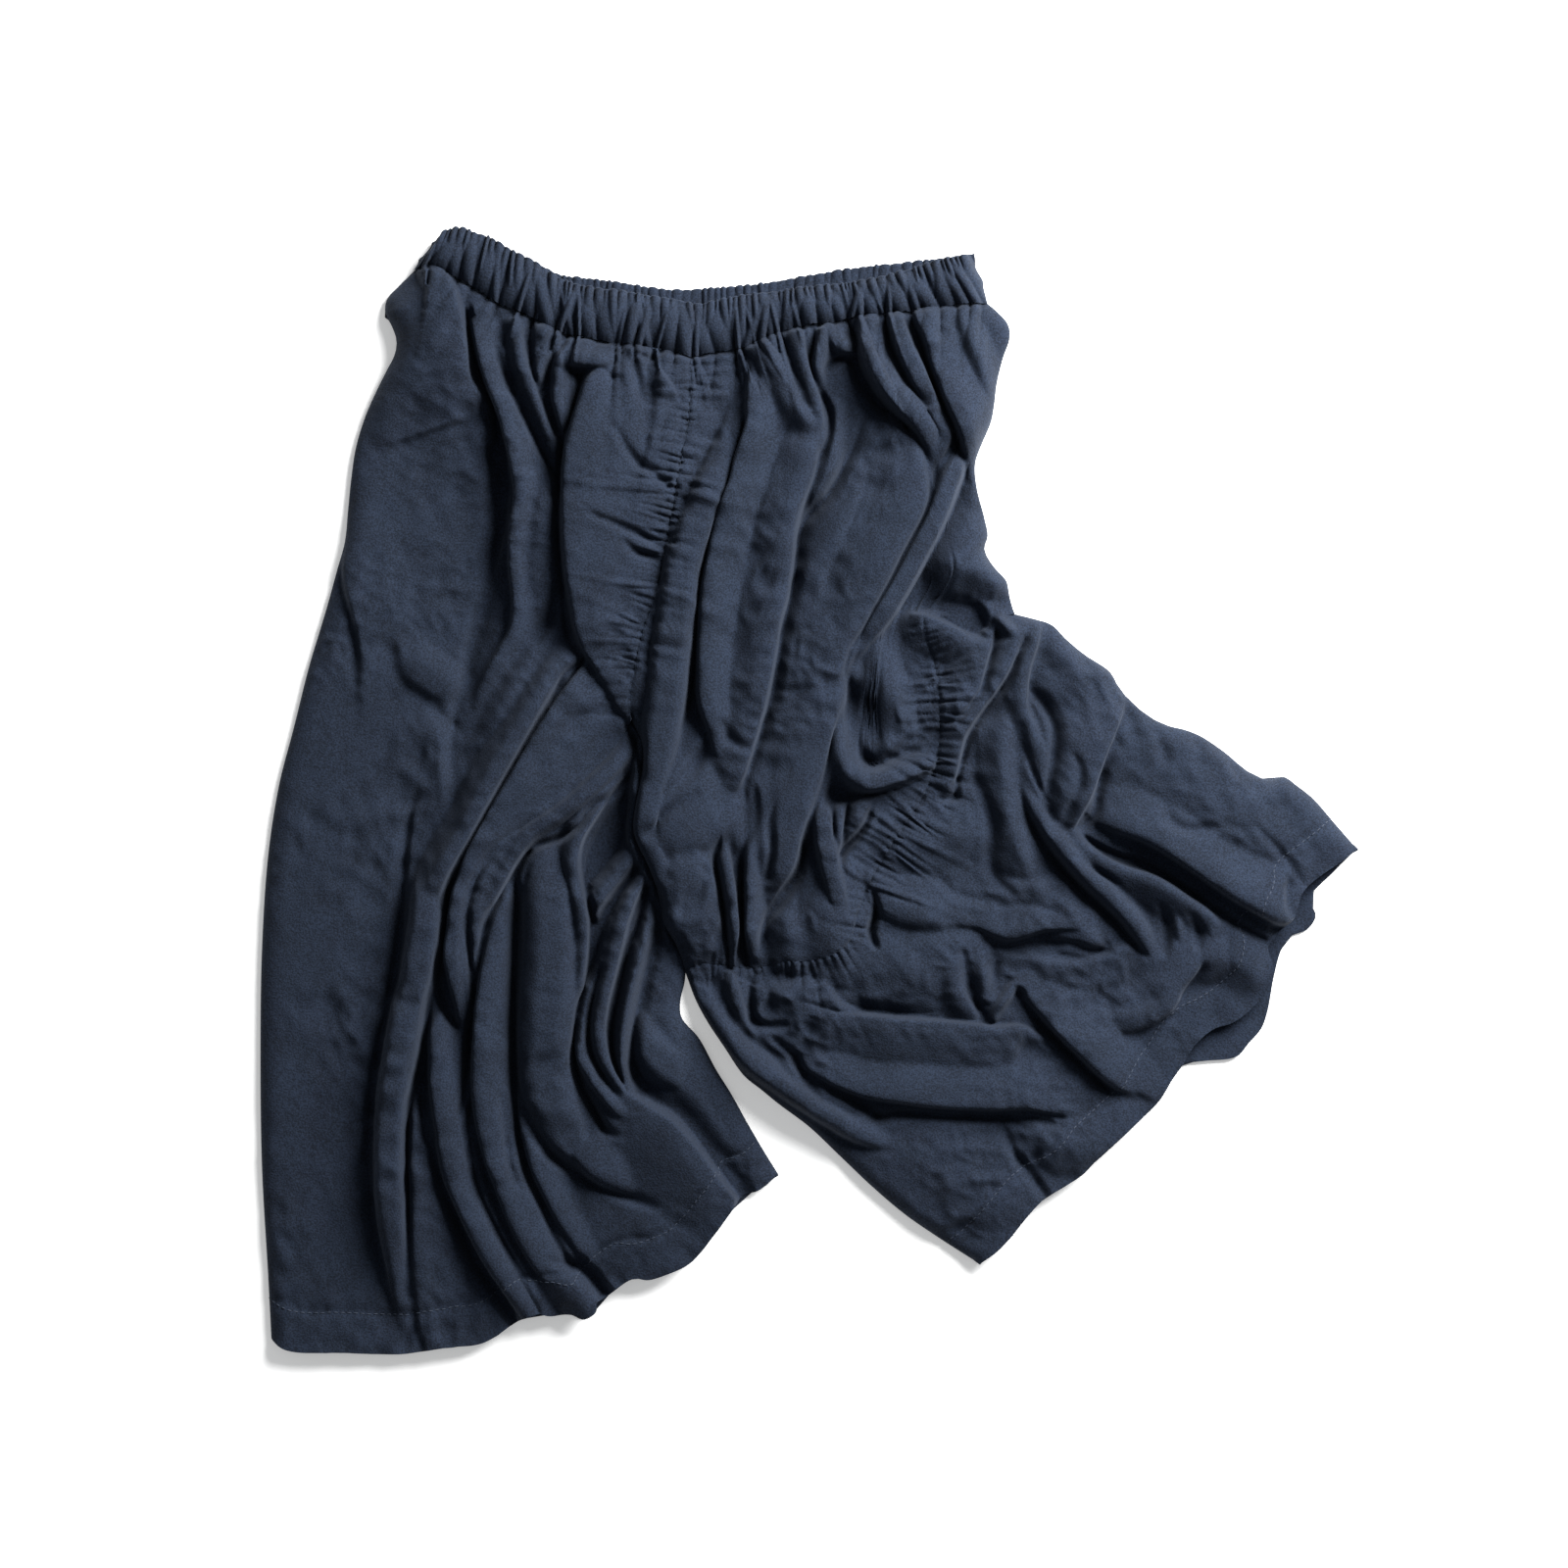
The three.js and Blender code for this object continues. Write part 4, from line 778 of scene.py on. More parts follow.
CURVES = {
    name: smooth_line(points, 1.0)
    for name, points in {
        "band_top": [
            (-241, 348), (-234, 356), (-224, 358.5), (-212, 355), (-203, 352), (-190, 344), (-175, 337),
            (-160, 327), (-150, 323), (-136, 320), (-118, 318), (-100, 315), (-86, 313), (-72, 310),
            (-60, 312), (-40, 316), (-20, 318), (0, 321), (20, 323), (40, 326), (60, 331), (80, 337),
            (103, 342),
        ],
        "waist_seam": [
            (-252, 334), (-242, 336), (-228, 330), (-212, 321), (-198, 312), (-183, 306), (-170, 299),
            (-154, 292), (-144, 291), (-132, 288), (-118, 286), (-98, 283), (-86, 281), (-76, 278),
            (-60, 281), (-45, 283), (-32, 288), (-17, 294), (-3, 298), (15, 300), (35, 304), (55, 306),
            (70, 308), (85, 310), (113, 313),
        ],
        "back_top": [
            (-241, 350), (-232, 354), (-205, 350), (-180, 339), (-158, 329), (-140, 327), (-118, 324),
            (-90, 320), (-60, 321), (-30, 324), (0, 329), (30, 334), (60, 337), (84, 340), (105, 343),
        ],
        "left_side": [
            (-252, 334), (-256, 330), (-262, 324), (-270, 315), (-271, 306), (-267, 298), (-264, 289),
            (-265, 280), (-270, 270), (-277, 256), (-284, 240), (-290, 220), (-293, 200), (-295, 180),
            (-297, 160), (-302, 142), (-308, 120), (-314, 100), (-320, 80), (-330, 40), (-339, 5),
            (-346, -40), (-350, -100), (-351, -170), (-350, -240), (-346, -310), (-344, -349),
        ],
        "left_hem": [
            (-344, -349), (-338, -354), (-329, -357), (-300, -357.5), (-265, -358.5), (-250, -357),
            (-230, -354), (-210, -352), (-200, -347), (-190, -340), (-181, -335), (-172, -332),
        ],
        "turned_hem": [
            (-172, -332), (-166, -334), (-152, -333), (-144, -336), (-136, -331), (-136, -326),
            (-126, -319), (-112, -310), (-103, -311), (-90, -307), (-76, -300), (-60, -281),
            (-47, -263), (-43, -258), (-32, -254), (-20, -244),
        ],
        "centre_seam": [
            (-76, 278), (-76, 262), (-77, 240), (-80, 222), (-84, 200), (-88, 176), (-93, 150),
            (-98, 125), (-105, 106), (-110, 84), (-114, 62), (-114, 46),
        ],
        "inseam": [
            (-114, 46), (-120, 35), (-129, 23), (-142, 10), (-162, -8), (-180, -20), (-200, -34),
            (-211, -47), (-218, -64), (-221, -90), (-219, -130), (-215, -180), (-216, -215),
            (-212, -250), (-200, -277), (-187, -303), (-172, -332),
        ],
        "left_inner": [
            (-114, 46), (-104, 30), (-105, 0), (-109, -22), (-100, -48), (-93, -72), (-88, -92),
            (-80, -106), (-80, -120), (-83, -134), (-82, -144), (-71, -157), (-60, -177), (-50, -193),
            (-40, -211), (-30, -228), (-20, -244),
        ],
        "right_inner": [
            (-114, 46), (-107, 30), (-107, 14), (-112, -10), (-113, -26), (-103, -47), (-97, -66),
            (-95, -82), (-86, -96), (-80, -113),
        ],
        "knee_seam": [
            (-80, -113), (-66, -109), (-50, -111), (-34, -112), (-18, -108), (0, -107), (15, -103),
            (26, -94), (30, -78), (37, -60), (45, -45), (53, -32), (62, -18), (71, -5), (78, 10),
            (82, 26), (83, 48), (82, 68), (79, 84), (74, 98), (72, 111),
        ],
        "tucked_edge": [(72, 111), (84, 109), (95, 103), (106, 98), (114, 106), (122, 112), (131, 114)],
        "right_side": [
            (113, 313), (118, 309), (127, 299), (128, 290), (124, 278), (120, 262), (118, 246),
            (116, 236), (110, 222), (106, 210), (107, 195), (112, 175), (114, 164), (112, 155),
            (118, 144), (126, 135), (128, 125), (131, 114),
        ],
        "folded_edge": [
            (131, 114), (143, 111), (155, 107), (164, 98), (176, 88), (192, 77), (199, 65), (204, 60),
            (215, 50), (228, 43), (240, 40), (250, 36), (265, 26), (281, 13), (294, 8), (303, 10),
            (312, 4), (322, -4), (336, -20), (350, -36),
        ],
        "inner_edge": [
            (-80, -113), (-73, -132), (-65, -147), (-55, -162), (-42, -181), (-31, -190), (-20, -199),
            (0, -214), (20, -233), (40, -252), (60, -269), (80, -283), (108, -301),
        ],
        "right_hem": [
            (108, -301), (118, -294), (128, -284), (140, -269), (150, -259), (162, -252), (174, -244),
            (186, -231), (200, -219), (212, -208), (223, -197), (231, -184), (238, -174), (246, -161),
            (258, -151), (270, -147), (283, -137), (293, -124), (296, -112), (292, -99), (300, -89),
            (309, -78), (314, -64), (326, -53), (338, -45), (350, -36),
        ],
        "back_right_hem": [
            (108, -301), (140, -268), (175, -243), (220, -200), (236, -175), (250, -172), (273, -169),
            (281, -160), (289, -151), (293, -140), (297, -118), (302, -100), (308, -92), (318, -88),
            (324, -79), (320, -68), (336, -50), (350, -36),
        ],
    }.items()
}

MM = 0.001
SIDE_EDGE = 2.2  # the front cloth's height where it turns round a side of the leg
LOWEST_FRONT = 0.6  # and it stays at least this much above that height everywhere else
LOFT = 10.5  # how high the front stands over the surface between its folds
WALL = 1.3  # thickness of the cloth as it lies, with the air in its rumples
INSIDE_STEP = 4  # the inside of a wall follows every fourth row and column
LOWEST_INSIDE = 0.15  # the inside of the front stays this far off the surface
LOWEST_EASED = 0.4  # cloth let go stays this much above its side edges
ROUGH_NET = 48  # a panel is unfolded on a net of this many cells each way
BUCKLE_CELL = 1.2  # cells shorter than this have no room to buckle
LOOSE, HELD = 0.012, 0.35  # how firmly plain and gathered cloth is kept in place
STIFFNESS = 0.08  # how much the cloth resists a sharp bend
UNFOLD_ROUNDS, EASE_ROUNDS = 500, 150  # how often a panel is unfolded, and then let go
MOST_STRETCH = 3.0  # cloth steeper than this gets no more points


def between(top, bottom, left, right, across, down):
    """Plan positions between four curves: across and down are shares, from 0 to 1."""

    def at(line, shares):
        along = run_along(line)
        return np.stack([np.interp(shares * along[-1], along, line[:, k]) for k in (0, 1)], axis=-1)

    u, v = across[None, :, None], down[:, None, None]
    left_corners = (1 - v) * left[0, :2] + v * left[-1, :2]
    right_corners = (1 - v) * right[0, :2] + v * right[-1, :2]
    return (
        (1 - v) * at(top, across)[None] + v * at(bottom, across)[None]
        + (1 - u) * at(left, down)[:, None] + u * at(right, down)[:, None]
        - (1 - u) * left_corners - u * right_corners
    )


def unfolded(plan):
    """Plan positions moved until rows and columns cross squarely and none runs over another."""
    p = plan.copy()
    for _ in range(UNFOLD_ROUNDS):
        across, down = (p[1:-1, 2:] - p[1:-1, :-2]) / 2, (p[2:, 1:-1] - p[:-2, 1:-1]) / 2
        tall, wide = (down**2).sum(-1, keepdims=True), (across**2).sum(-1, keepdims=True)
        slant = (across * down).sum(-1, keepdims=True)
        skew = p[2:, 2:] - p[2:, :-2] - p[:-2, 2:] + p[:-2, :-2]
        beside, along = p[1:-1, 2:] + p[1:-1, :-2], p[2:, 1:-1] + p[:-2, 1:-1]
        middle = tall * beside + wide * along - slant / 2 * skew
        p[1:-1, 1:-1] += 0.9 * (middle / (2 * (tall + wide) + 1e-9) - p[1:-1, 1:-1])
    return p


def panel(top, bottom, left, right, across, down):
    """Plan positions of a panel's rows and columns, none of them folded over."""
    even = np.linspace(0, 1, ROUGH_NET + 1)
    rough = between(top, bottom, left, right, even, even)
    moved = unfolded(rough) - rough
    for shares, axis in ((across, 1), (down, 0)):
        i = np.clip((shares * ROUGH_NET).astype(int), 0, ROUGH_NET - 1)
        f = np.expand_dims(shares * ROUGH_NET - i, (1, 2) if axis == 0 else (0, 2))
        moved = np.take(moved, i, axis) * (1 - f) + np.take(moved, i + 1, axis) * f
    return between(top, bottom, left, right, across, down) + moved


def spaced(count, *dense):
    """Shares from 0 to 1, closer together near each (place, width, how much closer)."""
    t = np.linspace(0, 1, 2001)
    weight = np.ones_like(t)
    for place, width, extra in dense:
        weight += extra * np.exp(-(((t - place) / width) ** 2))
    total = np.concatenate([[0], np.cumsum((weight[1:] + weight[:-1]) / 2)])
    return np.interp(np.linspace(0, 1, count + 1), total / total[-1], t)


def on_grid(field, xy):
    """A field of the lie, read off at places in plan."""
    p = (xy - LOW) / CELL
    i = np.clip(np.floor(p).astype(int), 0, np.array(grid_x.shape[::-1]) - 2)
    f = p - i
    value = 0
    for dx in (0, 1):
        for dy in (0, 1):
            share = np.abs(1 - dx - f[..., 0]) * np.abs(1 - dy - f[..., 1])
            corner = field[i[..., 1] + dy, i[..., 0] + dx]
            value = value + (share[..., None] if field.ndim == 3 else share) * corner
    return value


def from_curve(xy, name, every=3):
    """The distance of each place from a curve, its side of it and how far along it is."""
    return near_line(xy[..., 0], xy[..., 1], CURVES[name][::every])[:3]


def turned_round(xy, edges):
    """How far the cloth has risen from the leg's sides, 0 to 1, with a round edge."""
    rise = np.ones(xy.shape[:2])
    for name, reach in edges:
        far = from_curve(xy, name, 4)[0]
        rise *= np.sqrt(np.clip(1 - (1 - np.clip(far / reach, 0, 1)) ** 2, 0, 1))
    return rise


def laid(xy, edges, ripple):
    """The front cloth over plan positions, as points."""
    rise = turned_round(xy, edges)
    height = np.maximum(LOFT + on_grid(lie, xy) + ripple, SIDE_EDGE + LOWEST_FRONT)
    over = on_grid(lean, xy) * rise[..., None]
    z = SIDE_EDGE + rise * (height - SIDE_EDGE)
    return np.concatenate([xy + over, z[..., None]], axis=-1)


def evened(xy, points):
    """Plan positions moved along their rows and columns until the cloth over them is evenly sampled."""
    for axis in (1, 0):
        plan_step = np.linalg.norm(np.diff(xy, axis=axis), axis=-1)
        step = np.linalg.norm(np.diff(points, axis=axis), axis=-1) / np.maximum(plan_step, 1e-6)
        step = step if axis else step.T
        rows = np.pad(step, ((10, 10), (0, 0)), mode="edge")
        step = sum(1 / 21 * rows[k : k + step.shape[0]] for k in range(21))  # a running mean
        moved = xy.copy() if axis else xy.transpose(1, 0, 2).copy()
        for r, (line, stretch) in enumerate(zip(moved.copy(), step)):
            total = np.concatenate([[0], np.cumsum(np.minimum(stretch, MOST_STRETCH))])
            at = np.linspace(0, total[-1], len(line))
            for k in (0, 1):
                moved[r, :, k] = np.interp(at, total, line[:, k])
        xy = moved if axis else moved.transpose(1, 0, 2)
    return xy


def combed(points):
    """Points drawn in line with their neighbours where the cells are long and thin."""
    for grid in (points, points.transpose(1, 0, 2)):
        long, short = (np.linalg.norm(np.gradient(grid, axis=axis), axis=-1) for axis in (1, 0))
        thin = np.clip((long / np.maximum(short, 1e-3) - 2.2) / 2.5, 0, 1)
        for _ in range(3):
            thin = (thin + np.roll(thin, 1, 0) + np.roll(thin, -1, 0)) / 3
        for _ in range(30):
            grid[1:-1] += 0.5 * thin[1:-1, :, None] * (0.5 * (grid[:-2] + grid[2:]) - grid[1:-1])
    return points


def relaxed(target, excess, hold):
    """The cloth let go a little: it keeps its own lengths, which are longer than the target's by
    excess, so that it buckles into creases of its own, and it is drawn back to the target by hold."""
    target = combed(target)
    p = target.astype(np.float32)
    aim = p.copy()
    rows, columns = p.shape[:2]
    cell = np.minimum(*(np.linalg.norm(np.gradient(aim, axis=axis), axis=-1) for axis in (0, 1)))
    longer = 1 + np.asarray(excess, np.float32) * np.clip(cell / BUCKLE_CELL, 0, 1) ** 2
    pairs = []
    for down, right, strength in ((0, 1, 0.9), (1, 0, 0.9), (1, 1, 0.35), (1, -1, 0.35)):
        first = slice(0, columns - right) if right >= 0 else slice(1, columns)
        second = slice(right, columns) if right >= 0 else slice(0, columns - 1)
        for odd in (0, 1):
            if down:
                a = (slice(odd, rows - 1, 2), first)
                b = (slice(odd + 1, rows, 2), second)
            else:
                a = (slice(0, rows), slice(odd, columns - 1, 2))
                b = (slice(0, rows), slice(odd + 1, columns, 2))
            rest = np.linalg.norm(aim[b] - aim[a], axis=-1) * 0.5 * (longer[a] + longer[b])
            pairs.append((a, b, rest, strength))
    from_ends = (np.minimum(np.arange(count), np.arange(count)[::-1]) for count in (rows, columns))
    near_edge = np.minimum.outer(*from_ends)
    hold = (hold + (1 - hold) * np.exp(-near_edge / 1.2)).astype(np.float32)[..., None]
    lowest = np.minimum(aim[..., 2], SIDE_EDGE + LOWEST_EASED)
    for _ in range(EASE_ROUNDS):
        for a, b, rest, strength in pairs:
            gap = p[b] - p[a]
            far = np.sqrt((gap * gap).sum(-1))
            move = (0.5 * strength * (1 - rest / np.maximum(far, 1e-6)))[..., None] * gap
            p[a] += move
            p[b] -= move
        for q in (p, p.transpose(1, 0, 2)):
            curve = STIFFNESS * (0.5 * (q[:-2] + q[2:]) - q[1:-1])
            q[1:-1] += curve
            q[:-2] -= 0.5 * curve
            q[2:] -= 0.5 * curve
        p += hold * (aim - p)
        p[..., 2] = np.maximum(p[..., 2], lowest)
    return combed(p.astype(float))


def draped(plan, edges, ripple, excess):
    """A panel's outer points: laid over the folds, evened and let go. It stays put where gathered."""
    plan = evened(plan, laid(plan, edges, ripple(plan)))
    rippled = ripple(plan)
    hold = LOOSE + HELD * np.clip(np.abs(rippled) / 2.0, 0, 1)
    return relaxed(laid(plan, edges, rippled), excess * on_grid(rumpled, plan), hold)


def directions(points):
    """Unit normals of a grid of points, rows down and columns across."""
    across = np.gradient(points, axis=1)
    down = np.gradient(points, axis=0)
    n = np.cross(down, across)
    return n / np.maximum(np.linalg.norm(n, axis=-1, keepdims=True), 1e-9)


def under(points):
    """The inside of a wall of cloth."""
    inside = points - WALL * directions(points)
    low = inside[..., 2]
    for _ in range(INSIDE_STEP):
        for axis in (0, 1):
            low = np.minimum(low, np.minimum(np.roll(low, 1, axis), np.roll(low, -1, axis)))
    rim = np.ones(low.shape, bool)
    rim[2:-2, 2:-2] = False
    inside[..., 2] = np.maximum(np.where(rim, inside[..., 2], low), LOWEST_INSIDE)
    return inside


def run_of_cloth(points, axis):
    """How far each point is along the cloth from its middle, with small jumps smoothed away."""
    step = np.linalg.norm(np.diff(points, axis=axis), axis=-1)
    total = np.cumsum(np.insert(step, 0, 0, axis=axis), axis=axis)
    total = total.T if axis == 0 else total
    total = total - total[:, total.shape[1] // 2, None]
    for _ in range(200):
        total[1:-1] += 0.25 * (total[:-2] - 2 * total[1:-1] + total[2:])
    return total.T if axis == 0 else total


def squares(*corners):
    """Four-sided faces from the numbers of their corners."""
    return np.stack(corners, -1).reshape(-1, 4).tolist()


def new_piece(name, points, faces, cut):
    """A smooth piece; cut says where on the flat cloth each of its points was."""
    mesh = bpy.data.meshes.new(name)
    mesh.from_pydata((points * MM).tolist(), [], faces)
    corners = np.zeros(len(mesh.loops), np.int32)
    mesh.loops.foreach_get("vertex_index", corners)
    mesh.uv_layers.new(name="cut").data.foreach_set("uv", (cut[corners] * MM).ravel())
    mesh.shade_smooth()
    mesh.set_sharp_from_angle(angle=math.radians(75))
    piece = bpy.data.objects.new(name, mesh)
    bpy.context.scene.collection.objects.link(piece)
    return piece


def made_of_cloth(name, *walls):
    """A piece made of closed walls, each a grid of outer points and one of inner points."""
    vertices, faces, cut = [], [], []
    for points, inside in walls:
        rows, columns = points.shape[:2]
        k = INSIDE_STEP
        inner = inside[::k, ::k]
        first = sum(len(v) for v in vertices)
        vertices += [points.reshape(-1, 3), inner.reshape(-1, 3)]
        out = first + np.arange(rows * columns).reshape(rows, columns)
        into = first + rows * columns + np.arange(inner.size // 3).reshape(inner.shape[:2])
        faces += squares(out[:-1, :-1], out[1:, :-1], out[1:, 1:], out[:-1, 1:])
        faces += squares(into[:-1, :-1], into[:-1, 1:], into[1:, 1:], into[1:, :-1])
        rims = [
            (out[0], into[0]),
            (out[-1, ::-1], into[-1, ::-1]),
            (out[::-1, 0], into[::-1, 0]),
            (out[:, -1], into[:, -1]),
        ]
        for outer_rim, inner_rim in rims:
            for j in range(len(inner_rim) - 1):
                outer_run = outer_rim[j * k : j * k + k + 1].tolist()
                faces.append([*outer_run, int(inner_rim[j + 1]), int(inner_rim[j])])
        places = np.stack([run_of_cloth(points, 1), run_of_cloth(points, 0)], -1)
        cut += [places.reshape(-1, 2), places[::k, ::k].reshape(-1, 2)]
    return new_piece(name, np.vstack(vertices), faces, np.vstack(cut))


# The cloth is a washed plain weave of cotton and linen, dyed slate navy: matt, with a soft bloom on
# the slopes, threads of slightly uneven thickness and shade, and no shine.
THREAD_MM = 1.1  # real threads are 0.4 mm apart; drawn coarser, so that the weave shows
SLUB_MM = 4.0  # length of a thick stretch of thread
PATCHES = 42.0  # lighter and darker patches in a metre of washed cloth


def linear(colour):
    """An sRGB hex colour as linear RGBA."""
    parts = [int(colour[i : i + 2], 16) / 255 for i in (1, 3, 5)]
    return [p / 12.92 if p <= 0.04045 else ((p + 0.055) / 1.055) ** 2.4 for p in parts] + [1.0]


def add_node(tree, kind, links=None, **settings):
    """A node with its settings, and its inputs set to values or linked to other nodes' outputs."""
    node = tree.nodes.new(kind)
    for key, value in settings.items():
        setattr(node, key, value)
    for socket, value in (links or {}).items():
        if isinstance(value, bpy.types.NodeSocket):
            tree.links.new(value, node.inputs[socket])
        else:
            node.inputs[socket].default_value = value
    return node


def woven_cloth(name, dark, light):
    material = bpy.data.materials.new(name)
    material.use_nodes = True
    tree = material.node_tree
    shader = tree.nodes["Principled BSDF"]
    cut = add_node(tree, "ShaderNodeUVMap", uv_map="cut").outputs[0]
    place = add_node(tree, "ShaderNodeTexCoord").outputs["Object"]
    fleck = add_node(
        tree, "ShaderNodeTexNoise",
        {"Vector": place, "Scale": 1 / (THREAD_MM * MM), "Detail": 1.0, "Roughness": 0.6},
    )
    slubs = []
    for stretch in ((1, THREAD_MM / SLUB_MM, 1), (THREAD_MM / SLUB_MM, 1, 1)):
        along = add_node(tree, "ShaderNodeMapping", {"Vector": cut, "Scale": stretch})
        slub = add_node(
            tree, "ShaderNodeTexNoise",
            {"Vector": along.outputs[0], "Scale": 1 / (THREAD_MM * MM) * 0.8, "Detail": 1.0},
        )
        slubs.append(slub.outputs[0])
    crossed = add_node(tree, "ShaderNodeMath", {0: slubs[0], 1: slubs[1]}, operation="ADD")
    both = add_node(
        tree, "ShaderNodeMath",
        {0: crossed.outputs[0], 1: 0.2, 2: fleck.outputs[0]}, operation="MULTIPLY_ADD",
    )
    patch = add_node(tree, "ShaderNodeTexNoise", {"Vector": cut, "Scale": PATCHES, "Detail": 3.0})
    shade = add_node(
        tree, "ShaderNodeMath",
        {0: patch.outputs[0], 1: 0.35, 2: both.outputs[0]}, operation="MULTIPLY_ADD",
    )
    colour = add_node(
        tree, "ShaderNodeMapRange",
        {"Value": shade.outputs[0], "From Min": 0.70, "From Max": 1.05, "To Min": 0.0, "To Max": 1.0},
    )
    mix = add_node(tree, "ShaderNodeMix", {"Factor": colour.outputs[0]}, data_type="RGBA")
    mix.inputs[6].default_value = linear(dark)
    mix.inputs[7].default_value = linear(light)
    tree.links.new(mix.outputs[2], shader.inputs["Base Color"])
    bump = add_node(
        tree, "ShaderNodeBump", {"Height": both.outputs[0], "Strength": 0.6, "Distance": 0.0006},
    )
    tree.links.new(bump.outputs[0], shader.inputs["Normal"])
    shader.inputs["Roughness"].default_value = 0.95
    shader.inputs["Specular IOR Level"].default_value = 0.15
    shader.inputs["Sheen Weight"].default_value = 0.12
    shader.inputs["Sheen Roughness"].default_value = 0.5
    shader.inputs["Sheen Tint"].default_value = linear("#8b97ad")
    return material


cloth = woven_cloth("washed cotton and linen plain weave, slate navy", "#10151e", "#1d2533")


def sewn(piece, *nodes, flat, held, area, rests_on=()):
    """Gives a finished piece its cloth, hangs it on the root and hides the model's parts it stands in for.
    """
    piece.data.materials.append(cloth)
    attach(piece, "root")
    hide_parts(*nodes)


# ---- Waistband -----------------------------------------------------------------------------------
# A strip of the same cloth folded over a 30 mm elastic and sewn on, so that it gathers into close
# upright pleats. The front half is puffed up; the back half is pressed on the surface.

BAND = 3.0  # both layers of cloth and the elastic
BAND_HEIGHT = 15.5  # top of the front half between its pleats
PLEAT_MM = 8.0  # from one pleat to the next along the waist seam
PLEAT_RISE = 7.5  # how far a pleat stands out
BACK_HEIGHT, BACK_RISE = 3.6, 3.2  # the same two heights on the pressed back half
BAND_DEPTH = 32.0
BAND_END = 14.0  # over this width the band is drawn down to its side seam
SCALLOP = 1.6  # how far the pleats push its edges in and out
TUCK = 1.3  # the seam's two ends are pulled this far under the leg's cloth
COLUMNS, COLUMN_MM, ROW_MM = 520, 1.05, 1.4  # the band's points, and how far apart they are


def gathers(along, off, length, pitch, seed, reach, spread=0.0, uneven=0.5, slanted=0.10):
    """The height, 0 to 1, of uneven gathers along a seam: along is the place on the seam, off the
    distance from it. Each gather has its own width, strength, slant and reach."""
    pick = np.random.default_rng(seed)
    height = np.zeros_like(along)
    centre = 0.0
    while centre < length + pitch:
        width = pitch * pick.uniform(1 - uneven, 1 + uneven)
        strong, slant = pick.uniform(0.55, 1.15), pick.normal(0, slanted)
        far = reach * pick.lognormal(0, 0.45)
        centre += width / 2
        wide = 0.51 * width * (1 + spread * off)
        share = np.abs(along - centre - slant * off) / wide
        close = share < 1
        one = strong * np.sqrt(1 - share[close] ** 2) * np.exp(-((off[close] / far) ** 1.6))
        height[close] = np.maximum(height[close], one)
        centre += width / 2
    return height


def half_band(top, seam, height, rise, seed, flat_below=False):
    """The rings of points round a gathered band, one for each column."""
    top, seam = evenly(top, COLUMNS), evenly(seam, COLUMNS)
    length = length_of(seam)
    along = np.linspace(0, 1, COLUMNS) * length
    depth = np.linspace(0, 1, 24)[:, None]
    plan = top[None] * (1 - depth[..., None]) + seam[None] * depth[..., None]
    off = depth * BAND_DEPTH + 0 * along[None]
    place = along[None] + 0 * depth
    main = gathers(place, BAND_DEPTH - off, length, PLEAT_MM, seed, 60, uneven=0.65, slanted=0.2)
    fine = gathers(place, off, length, PLEAT_MM * 0.62, seed + 1, 20)
    pleat = np.maximum(main * (0.55 + 0.45 * depth), 0.85 * fine * (1 - 0.5 * depth))
    ends = np.minimum(along, length - along)
    puff = np.sqrt(np.clip(1 - (1 - np.clip(ends / BAND_END, 0, 1)) ** 2, 0, 1))[None]
    swell = np.sin(math.pi * np.clip(0.12 + 0.80 * depth, 0, 1)) ** 0.5
    z = height * (0.25 + 0.75 * puff) * swell + rise * pleat * (0.3 + 0.7 * puff)
    z = np.maximum(z, BAND + 0.2)
    scallop = SCALLOP * (pleat[0] - 0.5) * puff[0]
    up = top - seam
    up = up / np.linalg.norm(up, axis=1, keepdims=True)
    tucked = TUCK * (1 - puff)
    shift = scallop * ((1 - depth) ** 3 - 0.8 * depth**6) - tucked * depth**6
    plan = plan + up[None] * shift[..., None]
    outward = np.where(along > length / 2, 1.0, -1.0)
    plan[..., 0] += outward * (1 - puff) * (2.0 * np.sin(math.pi * depth) + 0.6 * np.sin(13 * depth + 1))
    outer = np.concatenate([plan, z[..., None]], -1)
    turn = np.linspace(0, math.pi, 7)[1:-1, None, None]
    cap = np.concatenate([
        plan[:1] + up[None] * 0.5 * BAND * np.sin(turn),
        z[:1, :, None] - 0.5 * BAND * (1 - np.cos(turn)),
    ], -1)
    inner = outer[::3].copy()
    inner[..., 2] -= BAND
    if flat_below:
        inner[..., 2] = np.minimum(inner[..., 2], 0.1 + 0.25 * pleat[::3])
    return np.concatenate([outer[::-1], cap, inner], 0)


def ring_of_cloth(name, rings):
    """A closed band of cloth from its rings of points."""
    around, columns = rings.shape[:2]
    at = np.arange(around * columns).reshape(around, columns)
    after = np.roll(at, -1, axis=0)
    faces = squares(at[:, :-1], at[:, 1:], after[:, 1:], after[:, :-1])
    faces += [at[:, 0].tolist(), at[::-1, -1].tolist()]
    along = np.broadcast_to(np.arange(columns)[None] * COLUMN_MM, at.shape)
    deep = np.broadcast_to(np.arange(around)[:, None] * ROW_MM, at.shape)
    return new_piece(name, rings.reshape(-1, 3), faces, np.stack([along, deep], -1).reshape(-1, 2))


rings = half_band(CURVES["band_top"], CURVES["waist_seam"], BAND_HEIGHT, PLEAT_RISE, 11)
front_band = ring_of_cloth("waistband_front_cloth", rings)
sewn(front_band, "waistband_front", flat=(0.40, 0.036), held="gathered", area=0.0144)
back_seam = CURVES["back_top"] - [0, BAND_DEPTH]
rings = half_band(CURVES["back_top"], back_seam, BACK_HEIGHT, BACK_RISE, 23, flat_below=True)
back_band = ring_of_cloth("waistband_back_cloth", rings)
sewn(back_band, "waistband_back", flat=(0.40, 0.036), held="gathered", area=0.0144)

